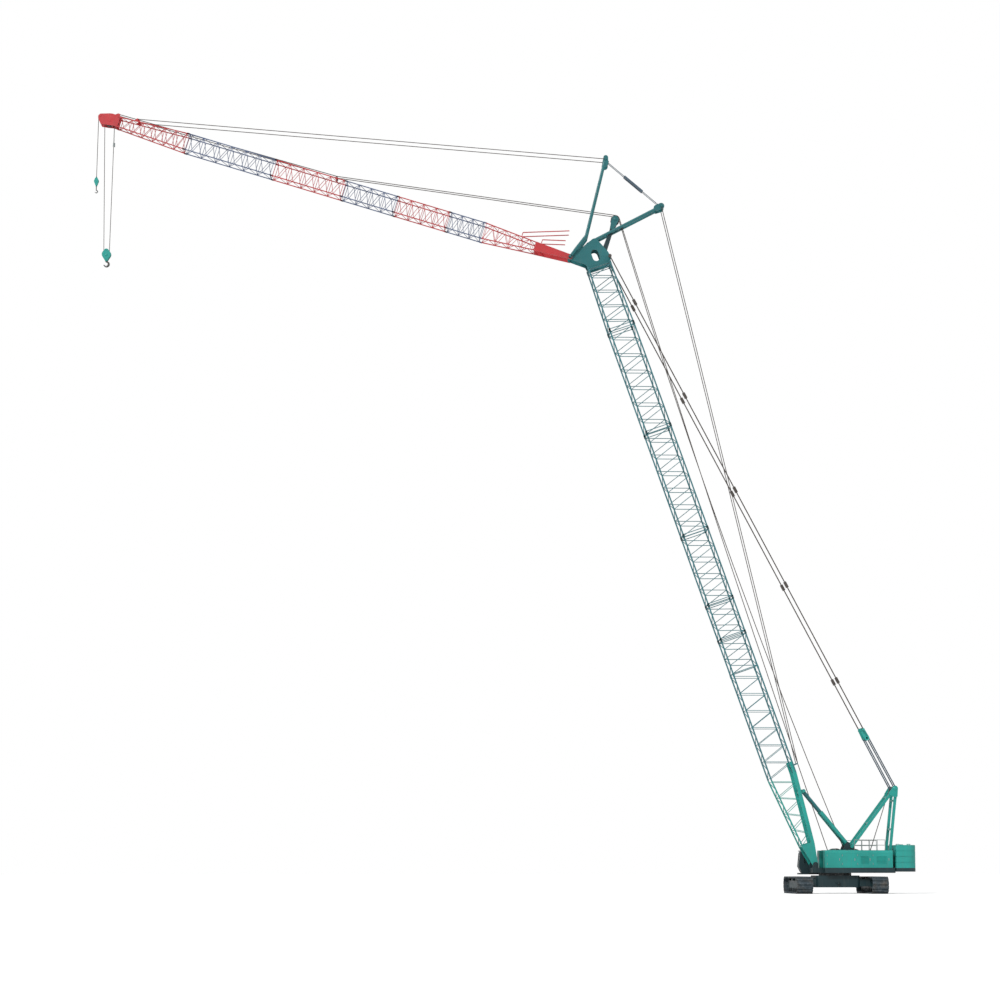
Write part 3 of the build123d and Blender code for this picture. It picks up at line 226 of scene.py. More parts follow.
class Shader:
    """A node tree, with short calls for the nodes that it uses most."""

    def __init__(self, owner):
        owner.use_nodes = True
        self.owner, self.tree = owner, owner.node_tree

    def fill(self, node, sockets):
        """Put an output or a plain value into each of a node's sockets."""
        for socket, value in sockets.items():
            if isinstance(value, bpy.types.NodeSocket):
                self.tree.links.new(value, node.inputs[socket])
            else:
                node.inputs[socket].default_value = value
        return node

    def node(self, kind, **sockets):
        """A new node; a socket's name has _ for each space."""
        named = {name.replace("_", " "): value for name, value in sockets.items()}
        return self.fill(self.tree.nodes.new("ShaderNode" + kind), named)

    def surface(self, **sockets):
        """Values or outputs for the surface shader's sockets."""
        named = {name.replace("_", " "): value for name, value in sockets.items()}
        self.fill(self.tree.nodes["Principled BSDF"], named)

    def place(self):
        return self.node("TexCoord").outputs["Object"]

    def noise(self, scale, detail=4.0, stretch=(1, 1, 1)):
        mapping = self.node("Mapping", Vector=self.place(), Scale=stretch)
        return self.node("TexNoise", Vector=mapping.outputs[0], Scale=scale, Detail=detail).outputs["Fac"]

    def ramp(self, value, low, high, start=0.0, end=1.0):
        """value, from low to high, spread from start to end."""
        sockets = dict(From_Min=low, From_Max=high, To_Min=start, To_Max=end)
        return self.node("MapRange", Value=value, **sockets).outputs["Result"]

    def mix(self, share, first, second):
        """A colour between two colours; each is a colour or an output."""
        node = self.node("Mix")
        node.data_type = "RGBA"
        return self.fill(node, {0: share, 6: first, 7: second}).outputs[2]

    def bump(self, height, distance, strength=1.0):
        self.surface(Normal=self.node("Bump", Height=height, Distance=distance, Strength=strength).outputs[0])


def painted(name, colour, rough=0.42, dirt=(96, 92, 84), dirt_share=0.22):
    """Machinery paint: uneven, dusty in patches, streaked downwards and a little orange-peeled."""
    shader = Shader(bpy.data.materials.new(name))
    uneven = shader.ramp(shader.noise(0.9), 0.35, 0.68)
    faded = shader.mix(uneven, shade(colour, 0.88), shade(colour, 1.1))
    streaks = shader.ramp(shader.noise(5, 6, (3, 3, 0.25)), 0.52, 0.8, 0, dirt_share)
    aged = shader.mix(streaks, faded, linear(*dirt))
    speckle = shader.ramp(shader.noise(38, 3), 0.66, 0.74, 0, 0.5)
    shader.surface(
        Base_Color=shader.mix(speckle, aged, shade(colour, 0.6)),
        Roughness=shader.ramp(shader.noise(7), 0.3, 0.75, rough - 0.08, rough + 0.14),
    )
    shader.bump(shader.noise(120, 2), 0.001, 0.35)
    return shader.owner


def worn_steel(name, colour, bright, rough=0.5, scale=9.0, metallic=0.55):
    """Cast or rolled steel, rubbed bright in patches and dull with earth elsewhere."""
    shader = Shader(bpy.data.materials.new(name))
    rubbed = shader.ramp(shader.noise(scale, 6), 0.5, 0.72)
    earth = shader.ramp(shader.noise(scale / 3, 5), 0.48, 0.7, 0, 0.6)
    shader.surface(
        Base_Color=shader.mix(earth, shader.mix(rubbed, colour, bright), linear(98, 88, 76)),
        Roughness=shader.ramp(rubbed, 0, 1, rough + 0.2, rough - 0.12),
        Metallic=metallic,
    )
    shader.bump(shader.noise(scale * 7, 4), 0.002, 0.5)
    return shader.owner


def wire_rope(name, colour):
    """Greased wire rope: fine strands and darker grease."""
    shader = Shader(bpy.data.materials.new(name))
    wave = shader.node("TexWave", Vector=shader.place(), Scale=14, Distortion=0.6)
    wave.bands_direction = "DIAGONAL"
    strands = wave.outputs["Fac"]
    grease = shader.ramp(shader.noise(2.5), 0.45, 0.75, 0, 0.5)
    metal = shader.mix(shader.ramp(strands, 0.2, 0.8), shade(colour, 0.7), shade(colour, 1.15))
    shader.surface(Base_Color=shader.mix(grease, metal, shade(colour, 0.45)), Metallic=0.3, Roughness=0.5)
    shader.bump(strands, 0.003, 0.7)
    return shader.owner


def tinted_glass(name):
    """Dark cab glass with a film of dust."""
    shader = Shader(bpy.data.materials.new(name))
    dust = shader.ramp(shader.noise(6, 5), 0.45, 0.8, 0.04, 0.22)
    film = shader.mix(dust, linear(22, 34, 40), linear(120, 124, 122))
    shader.surface(Base_Color=film, Roughness=dust, Alpha=0.55, Specular_IOR_Level=0.7)
    return shader.owner


def grained(name, colour, scale=60.0):
    """Moulded or stitched cover with a fine grain."""
    shader = Shader(bpy.data.materials.new(name))
    grain = shader.noise(scale, 5)
    cover = shader.mix(shader.ramp(grain, 0.35, 0.7), shade(colour, 0.75), shade(colour, 1.3))
    shader.surface(Base_Color=cover, Roughness=0.7)
    shader.bump(grain, 0.002, 0.6)
    return shader.owner


# each material's maker, its colour or colours and what differs from the maker's defaults
makers = {
    "track_steel": (worn_steel, (66, 78, 85), (104, 112, 118)),
    "frame_paint": (painted, (15, 46, 52), 0.45),
    "ring_steel": (worn_steel, (80, 84, 86), (150, 150, 148), 0.35, 14),
    "house_paint": (painted, (26, 150, 140), 0.38),
    "weight_paint": (painted, (30, 156, 146), 0.5),
    "boom_paint": (painted, (52, 116, 124)),
    "jib_red": (painted, (188, 46, 52), 0.4),
    # jib_grey stands for the jib's white-painted members, given the dark blue-grey they show in shade: painted
    # shade
    "jib_grey": (painted, (84, 100, 132)),
    "rope_steel": (wire_rope, (84, 78, 74)),
    "reeving_steel": (wire_rope, (80, 98, 112)),
    "head_paint": (painted, (26, 104, 108)),
    "rail_steel": (painted, (138, 146, 146), 0.4),
    "engine_iron": (worn_steel, (52, 54, 56), (90, 92, 94)),
    "cab_window": (tinted_glass,),
    "seat_cover": (grained, (38, 38, 42)),
}
looks = {
    name: maker(name, *[linear(*value) if isinstance(value, tuple) else value for value in values])
    for name, (maker, *values) in makers.items()
}
node_slots = {part["node"]: part["material_slot"] for part in frame["record"]["subparts"]}
node_looks = {
    "boom_head": "head_paint",
    "backstop_tubes": "house_paint",
    "backstop_rods": "head_paint",
    "strut_link": "reeving_steel",
    "strut_eye": "head_paint",
    # the cab's shell and door take the dark frame paint: painted shade, for the cab's place on the shaded far side
    "cab_shell": "frame_paint",
    "cab_door": "frame_paint",
}
for node, shape in frame["nodes"].items():
    shape.data.materials.clear()
    shape.data.materials.append(looks[node_looks.get(node, node_slots[node])])


# -------------------- making pieces
def placed(name, data):
    """A new object of that data, in the scene."""
    thing = bpy.data.objects.new(name, data)
    bpy.context.scene.collection.objects.link(thing)
    return thing


def add(name, shapes, slot, body=None, node=None, look=None):
    """A piece made of shapes, which rides on a body and may stand for a node.

    It is in its slot's material, or in a look of its own.
    """
    points, faces = [], []
    for more_points, more_faces in shapes:
        first = len(points)
        points += more_points
        faces += [tuple(first + i for i in face) for face in more_faces]
    mesh = bpy.data.meshes.new(name)
    mesh.from_pydata([tuple(point) for point in points], [], faces)
    mesh.polygons.foreach_set("use_smooth", [True] * len(mesh.polygons))
    mesh.set_sharp_from_angle(angle=radians(smooth_angle))
    mesh.materials.append(looks[look or slot])
    thing = placed(name, mesh)
    if body:
        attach(thing, body)
    if node:
        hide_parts(node)
    return thing


def skin(rings):
    """The points and faces of rings joined in their order, with a face over each end."""
    count = len(rings[0])
    points = [point for ring in rings for point in ring]
    faces = []
    for start in range(0, len(points) - count, count):
        for i in range(count):
            after = (i + 1) % count
            faces.append((start + i, start + after, start + count + after, start + count + i))
    faces.append(tuple(reversed(range(count))))
    faces.append(tuple(range(len(points) - count, len(points))))
    return points, faces


# -------------------- simple shapes
def upright(point, across):
    """The same point at another place across the crane."""
    return Vector((point.x, across, point.z))


def share_of(first, second, share):
    """The point that share of the way from the first to the second."""
    return first + (second - first) * share


def tube(start, end, radius, count):
    """A round bar with that many sides."""
    axis = (end - start).normalized()
    right = axis.cross(Vector((0, 1, 0)))
    if right.length < 0.01:
        right = axis.cross(Vector((1, 0, 0)))
    right.normalize()
    up = axis.cross(right)
    turns = [2 * pi * i / count for i in range(count)]
    ring = [(right * cos(turn) + up * sin(turn)) * radius for turn in turns]
    return skin([[start + step for step in ring], [end + step for step in ring]])


def crossbar(middle, reach, radius, count):
    """A round bar across the crane, which reaches as far to each side of its middle."""
    step = Vector((0, reach, 0))
    return tube(middle - step, middle + step, radius, count)


def rod(x, y, low, high, radius, count):
    """An upright round bar between two heights."""
    return tube(Vector((x, y, low)), Vector((x, y, high)), radius, count)


def polyline(places, radius, count=8):
    """A rope along places, as one swept skin with round turns at the corners between them."""
    across = Vector((0, 1, 0))
    turns = [2 * pi * j / count for j in range(count)]
    rings = []
    for i, place in enumerate(places):
        axis = (places[min(i + 1, len(places) - 1)] - places[max(i - 1, 0)]).normalized()
        side = (across - axis * across.dot(axis)).normalized()
        up = axis.cross(side)
        rings.append([place + (side * cos(turn) + up * sin(turn)) * radius for turn in turns])
    return skin(rings)


def lofted(sections, bevel=0.78):
    """A bar with bevelled edges through sections: place, width in X-Z and thickness across the crane."""
    quarter = ((1, bevel), (bevel, 1))
    corners = [*quarter, *[(-a, b) for a, b in quarter[::-1]]]
    corners += [(-a, -b) for a, b in corners]
    rings = []
    for i, (place, width, thickness) in enumerate(sections):
        axis = sections[min(i + 1, len(sections) - 1)][0] - sections[max(i - 1, 0)][0]
        normal = Vector((axis.z, 0, -axis.x)).normalized()
        rings.append(
            [place + normal * a * width / 2 + Vector((0, b * thickness / 2, 0)) for a, b in corners]
        )
    return skin(rings)


def plate(line, outline, across, thickness):
    """A flat plate with that outline of (station, place to the front), square to the crane's width."""
    faces_y = [across + way * thickness / 2 for way in sides]
    return skin([[line.at(station, y, deep) for station, deep in outline] for y in faces_y])


def turned(centre, profile, count=40, axis=Vector((0, 1, 0)), up=Vector((0, 0, 1))):
    """A closed profile of (place along the axis, radius) turned round that axis."""
    side = axis.cross(up)
    points = []
    for i in range(count):
        angle = 2 * pi * i / count
        spoke = side * cos(angle) + up * sin(angle)
        points += [centre + axis * place + spoke * radius for place, radius in profile]
    size = len(profile)
    faces = []
    for i in range(count):
        for j in range(size):
            first, second = i * size, (i + 1) % count * size
            after = (j + 1) % size
            faces.append((first + j, first + after, second + after, second + j))
    return points, faces


def hexahedron(points):
    """Eight corners, whose last coordinate changes fastest, and their six faces."""
    return points, [(0, 1, 3, 2), (4, 6, 7, 5), (0, 4, 5, 1), (2, 3, 7, 6), (0, 2, 6, 4), (1, 5, 7, 3)]


def block(low, high):
    """A box between two corners."""
    (x1, y1, z1), (x2, y2, z2) = low, high
    return hexahedron([Vector((x, y, z)) for x in (x1, x2) for y in (y1, y2) for z in (z1, z2)])


def hull(circles):
    """The outline drawn tight round circles, each (place, place, radius)."""
    turns = [2 * pi * i / 48 for i in range(48)]
    places = sorted((x + r * cos(turn), z + r * sin(turn)) for x, z, r in circles for turn in turns)
    outline = []
    for order in (places, places[::-1]):
        chain = []
        for place in order:
            while len(chain) > 1:
                (ax, az), (bx, bz) = chain[-2:]
                if (bx - ax) * (place[1] - az) - (bz - az) * (place[0] - ax) > 1e-9:
                    break
                chain.pop()
            chain.append(place)
        outline += chain[:-1]
    return outline


def rounded(width, height, radius, steps=4):
    """The corners of a rounded rectangle round its middle."""
    corners = []
    for i, (x, y) in enumerate(((1, 1), (-1, 1), (-1, -1), (1, -1))):
        middle = x * (width / 2 - radius), y * (height / 2 - radius)
        for j in range(steps + 1):
            angle = pi / 2 * (i + j / steps)
            corners.append((middle[0] + radius * cos(angle), middle[1] + radius * sin(angle)))
    return corners


def arc(centre, radius, start, end, steps, across=0.0):
    """Points round a centre in the X-Z plane; angles in degrees, anticlockwise from +X to +Z."""
    points = []
    for i in range(steps + 1):
        angle = radians(start + (end - start) * i / steps)
        points.append(Vector((centre.x + radius * cos(angle), across, centre.z + radius * sin(angle))))
    return points


def bearing(centre, point):
    """The direction of a point from a centre in the X-Z plane, in degrees."""
    return degrees(atan2(point.z - centre.z, point.x - centre.x))


def tangent(centre, radius, target, turn):
    """Where a line from target touches a sheave, on the side that turn picks."""
    reach = target - centre
    length = hypot(reach.x, reach.z)
    open_angle = turn * acos(radius / length)
    x, z = reach.x / length, reach.z / length
    return centre + Vector(
        (x * cos(open_angle) - z * sin(open_angle), 0, x * sin(open_angle) + z * cos(open_angle))
    ) * radius


def grooved(centre, radius, width, bore):
    """A sheave with a hub, a thin web and a grooved rim; the rope runs at that radius."""
    half = width / 2
    rim, hub, web, lip = radius * 0.8, bore * 1.7, width / 6, width / 8
    one_side = [
        (half, bore),
        (half, hub),
        (web, hub),
        (web, rim),
        (half, rim),
        (half, radius + flange),
        (half - lip, radius + flange),
        (width * 0.18, radius),
    ]
    profile = one_side + [(-place, reach) for place, reach in reversed(one_side)]
    return turned(centre, profile)


def flanged(centre, radius, width):
    """The two flanges of a sheave whose hub and web are in the solid."""
    half = width / 2
    one_side = [(half, radius - flange), (half, radius + flange), (half - width / 8, radius + flange)]
    profile = one_side + [(width * 0.2, radius + 0.001)]
    profile += [(-place, reach) for place, reach in reversed(profile)]
    return turned(centre, profile)


def boss(centre, axis, steps, count=24):
    """A stepped round cap on a face: each step is (place along the axis, radius), outwards."""
    up = Vector((0, 0, 1)) if abs(axis.z) < 0.9 else Vector((1, 0, 0))
    profile = [(steps[0][0], 0.002), *steps, (steps[-1][0], 0.002)]
    return turned(centre, profile, count, axis, up)


def bolt(centre, axis, radius=0.009, height=0.007):
    """A hexagonal bolt head on a face."""
    return boss(centre, axis, ((-0.002, radius), (height, radius)), 6)


# -------------------- lattices
def connector(line, station, across, deep, chord):
    """The pinned joint of two chord ends: two ears, a tongue between them and a pin with its head."""
    reach, tall = chord * 1.5, chord * 0.62
    ear = [(station + x, deep + y) for x, y in rounded(2 * reach, 2 * tall, tall * 0.8, 3)]
    shapes = [plate(line, ear, across + way * chord * 0.36, chord * 0.2) for way in sides]
    tongue = [(station + x, deep + y) for x, y in rounded(2.3 * reach, 1.7 * tall, tall * 0.6, 3)]
    shapes.append(plate(line, tongue, across, chord * 0.42))
    shapes.append(crossbar(line.at(station + reach * 0.4, across, deep), tall, chord * 0.24, 10))
    return shapes


def laced(line, near, far, bays, chord, lace, battens=False):
    """Round chords and lacing between two frames, each (station, half width, half depth).

    Opposite faces mirror each other, and a square of cross bars closes each end.
    """
    length = far[0] - near[0]

    def corner(share, across, deep):
        station, width, depth = (a + (b - a) * share for a, b in zip(near, far))
        return line.at(station, across * width, deep * depth)

    bars = [
        tube(corner(0, across, deep), corner(1, across, deep), chord / 2, 12)
        for across in sides
        for deep in sides
    ]
    inset = section_margin / length
    steps = [inset + (1 - 2 * inset) * i / (2 * bays) for i in range(2 * bays + 1)]
    for i, (low, high) in enumerate(zip(steps, steps[1:])):
        way = 1 if i % 2 else -1
        for face in sides:
            turn = way * face
            bars.append(tube(corner(low, face, -turn), corner(high, face, turn), lace / 2, 8))
            bars.append(tube(corner(low, -turn, face), corner(high, turn, face), lace / 2, 8))
    if battens:
        for share in steps[::2]:
            bars += [tube(corner(share, face, -1), corner(share, face, 1), lace / 2, 8) for face in sides]
    for share in (steps[0], steps[-1]):
        for face in sides:
            bars.append(tube(corner(share, face, -1), corner(share, face, 1), lace * 0.55, 8))
            bars.append(tube(corner(share, -1, face), corner(share, 1, face), lace * 0.55, 8))
    for across in sides:
        for deep in sides:
            for share, place in ((0, near), (1, far)):
                bars += connector(line, place[0], across * place[1], deep * place[2], chord)
    return bars


def span(node, line):
    """The stations between which a node lies along a leaning piece."""
    stations = [line.station(vertex.co) for vertex in frame["nodes"][node].data.vertices]
    return min(stations), max(stations)


# node and its bays; a section's length comes from the frame, and the last one of each tapers
boom_sections = (
    ("boom_insert_2", 2),
    ("boom_insert_3", 2),
    ("boom_insert_4", 4),
    ("boom_insert_5", 6),
    ("boom_insert_6", 6),
    ("boom_top", 4),
)
jib_sections = (
    ("jib_insert_1", 3),
    ("jib_insert_2", 4),
    ("jib_insert_3", 4),
    ("jib_insert_4", 5),
    ("jib_insert_5", 6),
    ("jib_tip", 6),
)
for group, line, half, end_half, chord, lace, body, battens in (
    (boom_sections, boom_line, boom_half, boom_head_half, boom_chord, boom_lace, "boom", False),
    (jib_sections, jib_line, jib_half, jib_tip_half, jib_chord, jib_lace, "jib", True),
):
    for node, bays in group:
        near, far = span(node, line)
        if node == "jib_tip":
            far = jib_head_station
        far_half = end_half if node == group[-1][0] else (half, half)
        bars = laced(line, (near, half, half), (far, *far_half), bays, chord, lace, battens)
        add(f"{node}_tubes", bars, node_slots[node], body, node)

# -------------------- tracks
# a shoe's outline along the track and out of it, as shares of its length and height
shoe_profile = (
    (-0.5, 0.0), (-0.5, 0.62), (-0.4, 1.0), (-0.22, 1.0), (-0.14, 0.7),
    (0.14, 0.7), (0.22, 1.0), (0.4, 1.0), (0.5, 0.62), (0.5, 0.0),
)
shoe_bolts = (-0.24, -0.1, 0.1, 0.24)       # places across a shoe
# round caps: each step is a place along the axis and a radius
axle_cover = ((-0.004, 0.115), (0.02, 0.115), (0.026, 0.1), (0.026, 0.06), (0.05, 0.052))
roller_cap = ((-0.004, 0.034), (0.012, 0.034), (0.016, 0.026))


def shoe_frames():
    """The middle of each shoe's inner face, the way along the track and the way out, in Y and Z."""
    inner = track_height / 2 - shoe_height
    pitch = track_run / shoes_per_run
    for i in range(shoes_per_run):
        y = (i - (shoes_per_run - 1) / 2) * pitch
        yield (y, track_height / 2 + inner), (1, 0), (0, 1)
        yield (y, track_height / 2 - inner), (-1, 0), (0, -1)
    for end in sides:
        for i in range(shoes_per_end):
            angle = (i + 0.5) * pi / shoes_per_end - pi / 2
            out = end * cos(angle), sin(angle)
            middle = end * track_run / 2 + out[0] * inner, track_height / 2 + out[1] * inner
            yield middle, (out[1], -out[0]), out


def link_ring(middle):
    """The band of links under a track's shoes: four rings of points, with a face between each two."""
    outer = track_height / 2 - shoe_height
    turns = [(end, radians(start + 15 * i)) for end, start in ((1, -90), (-1, 90)) for i in range(13)]
    points = [
        Vector(
            (
                middle + way * (shoe_width / 2 - 0.012),
                end * track_run / 2 + radius * cos(angle),
                track_height / 2 + radius * sin(angle),
            )
        )
        for way in sides
        for radius in (outer, outer - link_band)
        for end, angle in turns
    ]
    count = len(turns)
    faces = []
    for i in range(count):
        after = (i + 1) % count
        for first, second in ((0, 1), (1, 3), (3, 2), (2, 0)):
            low, high = first * count, second * count
            faces.append((low + i, low + after, high + after, high + i))
    return points, faces


for side, middle in (("left", -track_gauge / 2), ("right", track_gauge / 2)):
    shapes = []
    for (y, z), along, out in shoe_frames():
        outline = [
            (
                y + along[0] * a * shoe_length + out[0] * b * shoe_height,
                z + along[1] * a * shoe_length + out[1] * b * shoe_height,
            )
            for a, b in shoe_profile
        ]
        edges = [middle + way * shoe_width / 2 for way in sides]
        shapes.append(skin([[Vector((x, *point)) for point in outline] for x in edges]))
        outwards = Vector((0, *out))
        face = Vector((0, y, z)) + outwards * shoe_height * 0.7
        shapes += [bolt(face + Vector((middle + across, 0, 0)), outwards) for across in shoe_bolts]
        # the link pin in the gap beside the shoe
        gap = Vector((0, y + along[0] * shoe_length * 0.67, z + along[1] * shoe_length * 0.67))
        gap -= outwards * link_band * 0.45
        reach = Vector((shoe_width / 2, 0, 0))
        centre = gap + Vector((middle, 0, 0))
        shapes.append(tube(centre - reach, centre + reach, link_pin, 8))
    shapes.append(link_ring(middle))
    add(f"track_{side}_shoes", shapes, "track_steel", "undercarriage", f"track_{side}")

    # covers over the end wheels' axles and the rollers', outside and inside the frame
    shapes = []
    for way in sides:
        outwards = Vector((way, 0, 0))
        x = middle + way * frame_side
        for end in sides:
            centre = Vector((x, end * track_run / 2, track_height / 2))
            shapes.append(boss(centre, outwards, axle_cover, 32))
            for i in range(8):
                angle = 2 * pi * i / 8
                place = Vector((way * 0.02, 0.095 * cos(angle), 0.095 * sin(angle)))
                shapes.append(bolt(centre + place + outwards * 0.006, outwards))
        for i in range(rollers_per_side):
            y = (i - (rollers_per_side - 1) / 2) * track_run / (rollers_per_side + 1)
            shapes.append(boss(Vector((x, y, roller_level)), outwards, roller_cap, 16))
    add(f"track_hubs_{side}", shapes, "frame_paint", "undercarriage")

# -------------------- houses
def panel(middle_x, middle_z, width, height, way, raised, radius=0.02):
    """A rounded panel on a house's outer side."""
    outline = [(middle_x + x, middle_z + z) for x, z in rounded(width, height, radius)]
    faces_y = way * (house_outer - 0.004), way * (house_outer + raised)
    return skin([[Vector((x, y, z)) for x, z in outline] for y in faces_y])


def louvre(x, half_width, middle_z, way):
    """A sloping blade that stands out of a door."""
    low, high = way * (house_outer + 0.004), way * (house_outer + 0.03)
    points = [
        Vector((x + end * half_width, y, z))
        for end in sides
        for y, z in ((low, middle_z - 0.014), (high, middle_z - 0.016), (low, middle_z + 0.018))
    ]
    return points, [(0, 1, 2), (5, 4, 3), (0, 3, 4, 1), (1, 4, 5, 2), (2, 5, 3, 0)]


# middle, width and whether it has louvres, of each door along a house
doors = ((-0.2, 0.56, False), (0.42, 0.56, False), (1.04, 0.56, True), (1.74, 0.7, True))
for side, way in (("left", -1), ("right", 1)):
    painted_shapes, bare_shapes = [], []
    for x, width, vented in doors:
        painted_shapes.append(panel(x, door_middle, width, door_height, way, 0.008))
        hinge_x, y = x - width / 2 - 0.006, way * (house_outer + 0.012)
        for z in (door_middle - 0.17, door_middle + 0.17):
            bare_shapes.append(rod(hinge_x, y, z - 0.035, z + 0.035, 0.009, 10))
        handle_x, y = x + width / 2 - 0.06, way * (house_outer + 0.022)
        bare_shapes.append(panel(handle_x, door_middle, 0.03, 0.1, way, 0.014, 0.008))
        bare_shapes.append(rod(handle_x, y, door_middle - 0.035, door_middle + 0.03, 0.006, 8))
        if vented:
            painted_shapes += [
                louvre(x, width * 0.3, door_middle - 0.15 + i * 0.05, way) for i in range(7)
            ]
    # a step rail under the doors
    near, far = sorted((way * house_outer, way * (house_outer + 0.012)))
    painted_shapes.append(
        block((house_front + 0.02, near, house_sill), (house_rear - 0.02, far, house_sill + 0.029))
    )
    add(f"house_doors_{side}", painted_shapes, "house_paint", "upper")
    add(f"house_latches_{side}", bare_shapes, "rail_steel", "upper")

    near, far = sorted((way * 0.68, way * 1.04))
    shapes = []
    for i in range(3):
        x = -0.25 + 0.42 * i
        shapes.append(block((x - 0.16, near, 1.746), (x + 0.16, far, 1.764)))
    add(f"house_roof_{side}", shapes, "house_paint", "upper")

# -------------------- handrails
shapes = []
first_post, post_pitch, posts = rail_posts
for y in (-rail_y, rail_y):
    post_x = [first_post + post_pitch * i for i in range(posts)]
    for x in post_x:
        shapes.append(rod(x, y, rail_foot, rail_levels[-1], rail_radius, 10))
        shapes.append(boss(Vector((x, y, rail_foot)), Vector((0, 0, 1)), ((0, 0.024), (0.008, 0.024)), 16))
    for z in rail_levels:
        ends = Vector((post_x[0] - rail_radius, y, z)), Vector((post_x[-1] + rail_radius, y, z))
        shapes.append(tube(*ends, rail_radius, 12))
add("handrail_tubes", shapes, "rail_steel", "upper", "handrails")

# -------------------- counterweight
shapes = []
for x in (2.45, 2.9):
    for y in (-0.85, 0.85):
        shapes.append(rod(x - 0.06, y, lug_foot, lug_foot + 0.045, lug_radius, 8))
        shapes.append(rod(x + 0.06, y, lug_foot, lug_foot + 0.045, lug_radius, 8))
        ends = Vector((x - 0.073, y, lug_foot + 0.04)), Vector((x + 0.073, y, lug_foot + 0.04))
        shapes.append(tube(*ends, lug_radius, 8))
add("counterweight_lugs", shapes, "weight_paint", "upper")

# -------------------- winches
def winding(centre, barrel, length, radius):
    """One layer of rope wound on a drum from flange to flange."""
    turns, count, corners = int(length / (2 * radius)) - 1, 20, 6
    side = Vector((0, 1, 0))
    reach = barrel + radius
    rings = []
    for i in range(turns * count + 1):
        angle = 2 * pi * i / count
        out = Vector((cos(angle), 0, sin(angle)))
        y = centre.y - turns * radius + 2 * radius * i / count
        place = Vector((centre.x + reach * cos(angle), y, centre.z + reach * sin(angle)))
        steps = [2 * pi / corners * j for j in range(corners)]
        rings.append([place + (out * cos(step) + side * sin(step)) * radius * 0.98 for step in steps])
    return skin(rings)


for number, (x, z, barrel) in enumerate(drums, 1):
    wound = winding(Vector((x, 0, z)), barrel, drum_length - 0.03, hoist_rope / 2)
    add(f"drum_rope_{number}", [wound], "rope_steel", "upper")

# bearing caps on the winch plates
bearing_cap = ((-0.004, 0.1), (0.018, 0.1), (0.024, 0.085), (0.03, 0.05))
shapes = []
for x, z, barrel in drums:
    for way in sides:
        outwards = Vector((0, way, 0))
        centre = Vector((x, way * winch_plate_y, z))
        shapes.append(boss(centre, outwards, bearing_cap, 28))
        for i in range(6):
            angle = pi / 3 * i
            place = Vector((0.083 * cos(angle), way * 0.02, 0.083 * sin(angle)))
            shapes.append(bolt(centre + place, outwards))
add("winch_bearing_caps", shapes, "frame_paint", "upper")

# -------------------- sheaves
def sheaves(line, place, places_y, radius, bore):
    """Grooved sheaves side by side on one axis."""
    return [grooved(line.spot(place, y), radius, sheave_width, bore) for y in places_y]


# the idler behind the boom's head: dark arms, a lighter head and two sheaves
idler_cap = ((-0.002, 0.07), (0.014, 0.07), (0.022, 0.055))
idler_top = boom_line.spot(idler_place)
idler_low = boom_line.spot(idler_foot)
neck = share_of(idler_low, idler_top, idler_neck)
arm = hull([(place.x, place.z, reach) for place, reach in ((idler_low, 0.1), (neck, 0.07))])
shapes = [plate(level, arm, way * idler_plate_y, 0.04) for way in sides]
shapes.append(crossbar(idler_low, 0.3, 0.045, 20))
for share in (0.3, 0.55):
    shapes.append(crossbar(share_of(idler_low, idler_top, share), idler_y + 0.04, 0.03, 16))
add("idler_arms", shapes, "frame_paint", "boom", "boom_idler")

shapes = []
cheek = hull([(idler_top.x, idler_top.z, 0.15), (neck.x, neck.z, 0.1)])
for way in sides:
    shapes.append(plate(level, cheek, way * idler_plate_y, 0.05))
    shapes.append(boss(upright(idler_top, way * (idler_y + 0.07)), Vector((0, way, 0)), idler_cap, 24))
core = hull([(idler_top.x, idler_top.z, 0.13), (neck.x, neck.z, 0.1)])
shapes.append(plate(level, core, 0, 0.16))
shapes.append(crossbar(idler_top, idler_y + 0.07, 0.04, 20))
add("idler_plates", shapes, "frame_paint", "boom", look="head_paint")
shapes = sheaves(boom_line, idler_place, (-idler_y, idler_y), idler_sheave, 0.04)
add("idler_sheaves", shapes, "ring_steel", "boom")

shapes = sheaves(boom_line, guide_place, guides_y, guide_sheave, 0.035)
shapes.append(crossbar(boom_line.spot(guide_place), 0.29, 0.035, 20))
add("boom_guide_sheaves", shapes, "ring_steel", "boom")

# the gantry's head: two plates, a shaft and the boom hoist's sheaves
gantry_cap = ((-0.002, 0.08), (0.016, 0.08), (0.024, 0.066))
outline = hull(((gantry_top.x, gantry_top.z, 0.115), (2.26, 4.06, 0.078), (2.45, 3.97, 0.078)))
shapes = [plate(level, outline, way * gantry_plate_y, 0.05) for way in sides]
shapes.append(crossbar(gantry_top, 0.62, 0.05, 24))
shapes += [boss(upright(gantry_top, way * 0.605), Vector((0, way, 0)), gantry_cap, 24) for way in sides]
add("gantry_head_plates", shapes, "house_paint", "upper", "gantry_head")
shapes = sheaves(stay_line, (0, 0), hoist_sheaves_y, gantry_sheave, 0.05)
add("gantry_sheaves", shapes, "ring_steel", "upper")

# the bridle: three cheeks, its sheaves and the pin that the pendants hang on
outline = hull(((bridle_axis, 0, 0.105), (bridle_tail, 0, 0.085)))
shapes = [plate(stay_line, outline, y, 0.024) for y in (-0.325, 0, 0.325)]
shapes.append(crossbar(stay_line.at(bridle_axis), 0.337, 0.04, 20))
shapes.append(crossbar(stay_line.at(bridle_tail), 0.63, 0.045, 20))
add("bridle_plates", shapes, "house_paint", "stay_pendants", "bridle")
shapes = sheaves(stay_line, (bridle_axis, 0), hoist_sheaves_y, bridle_sheave, 0.04)
add("bridle_sheaves", shapes, "ring_steel", "stay_pendants")

shapes = sheaves(jib_line, main_sheave_place, main_sheaves_y, main_sheave, 0.0303)
shapes += sheaves(jib_line, aux_sheave_place, (0,), aux_sheave, 0.0223)
add("jib_grooved_sheaves", shapes, "ring_steel", "jib", "jib_head_sheaves")

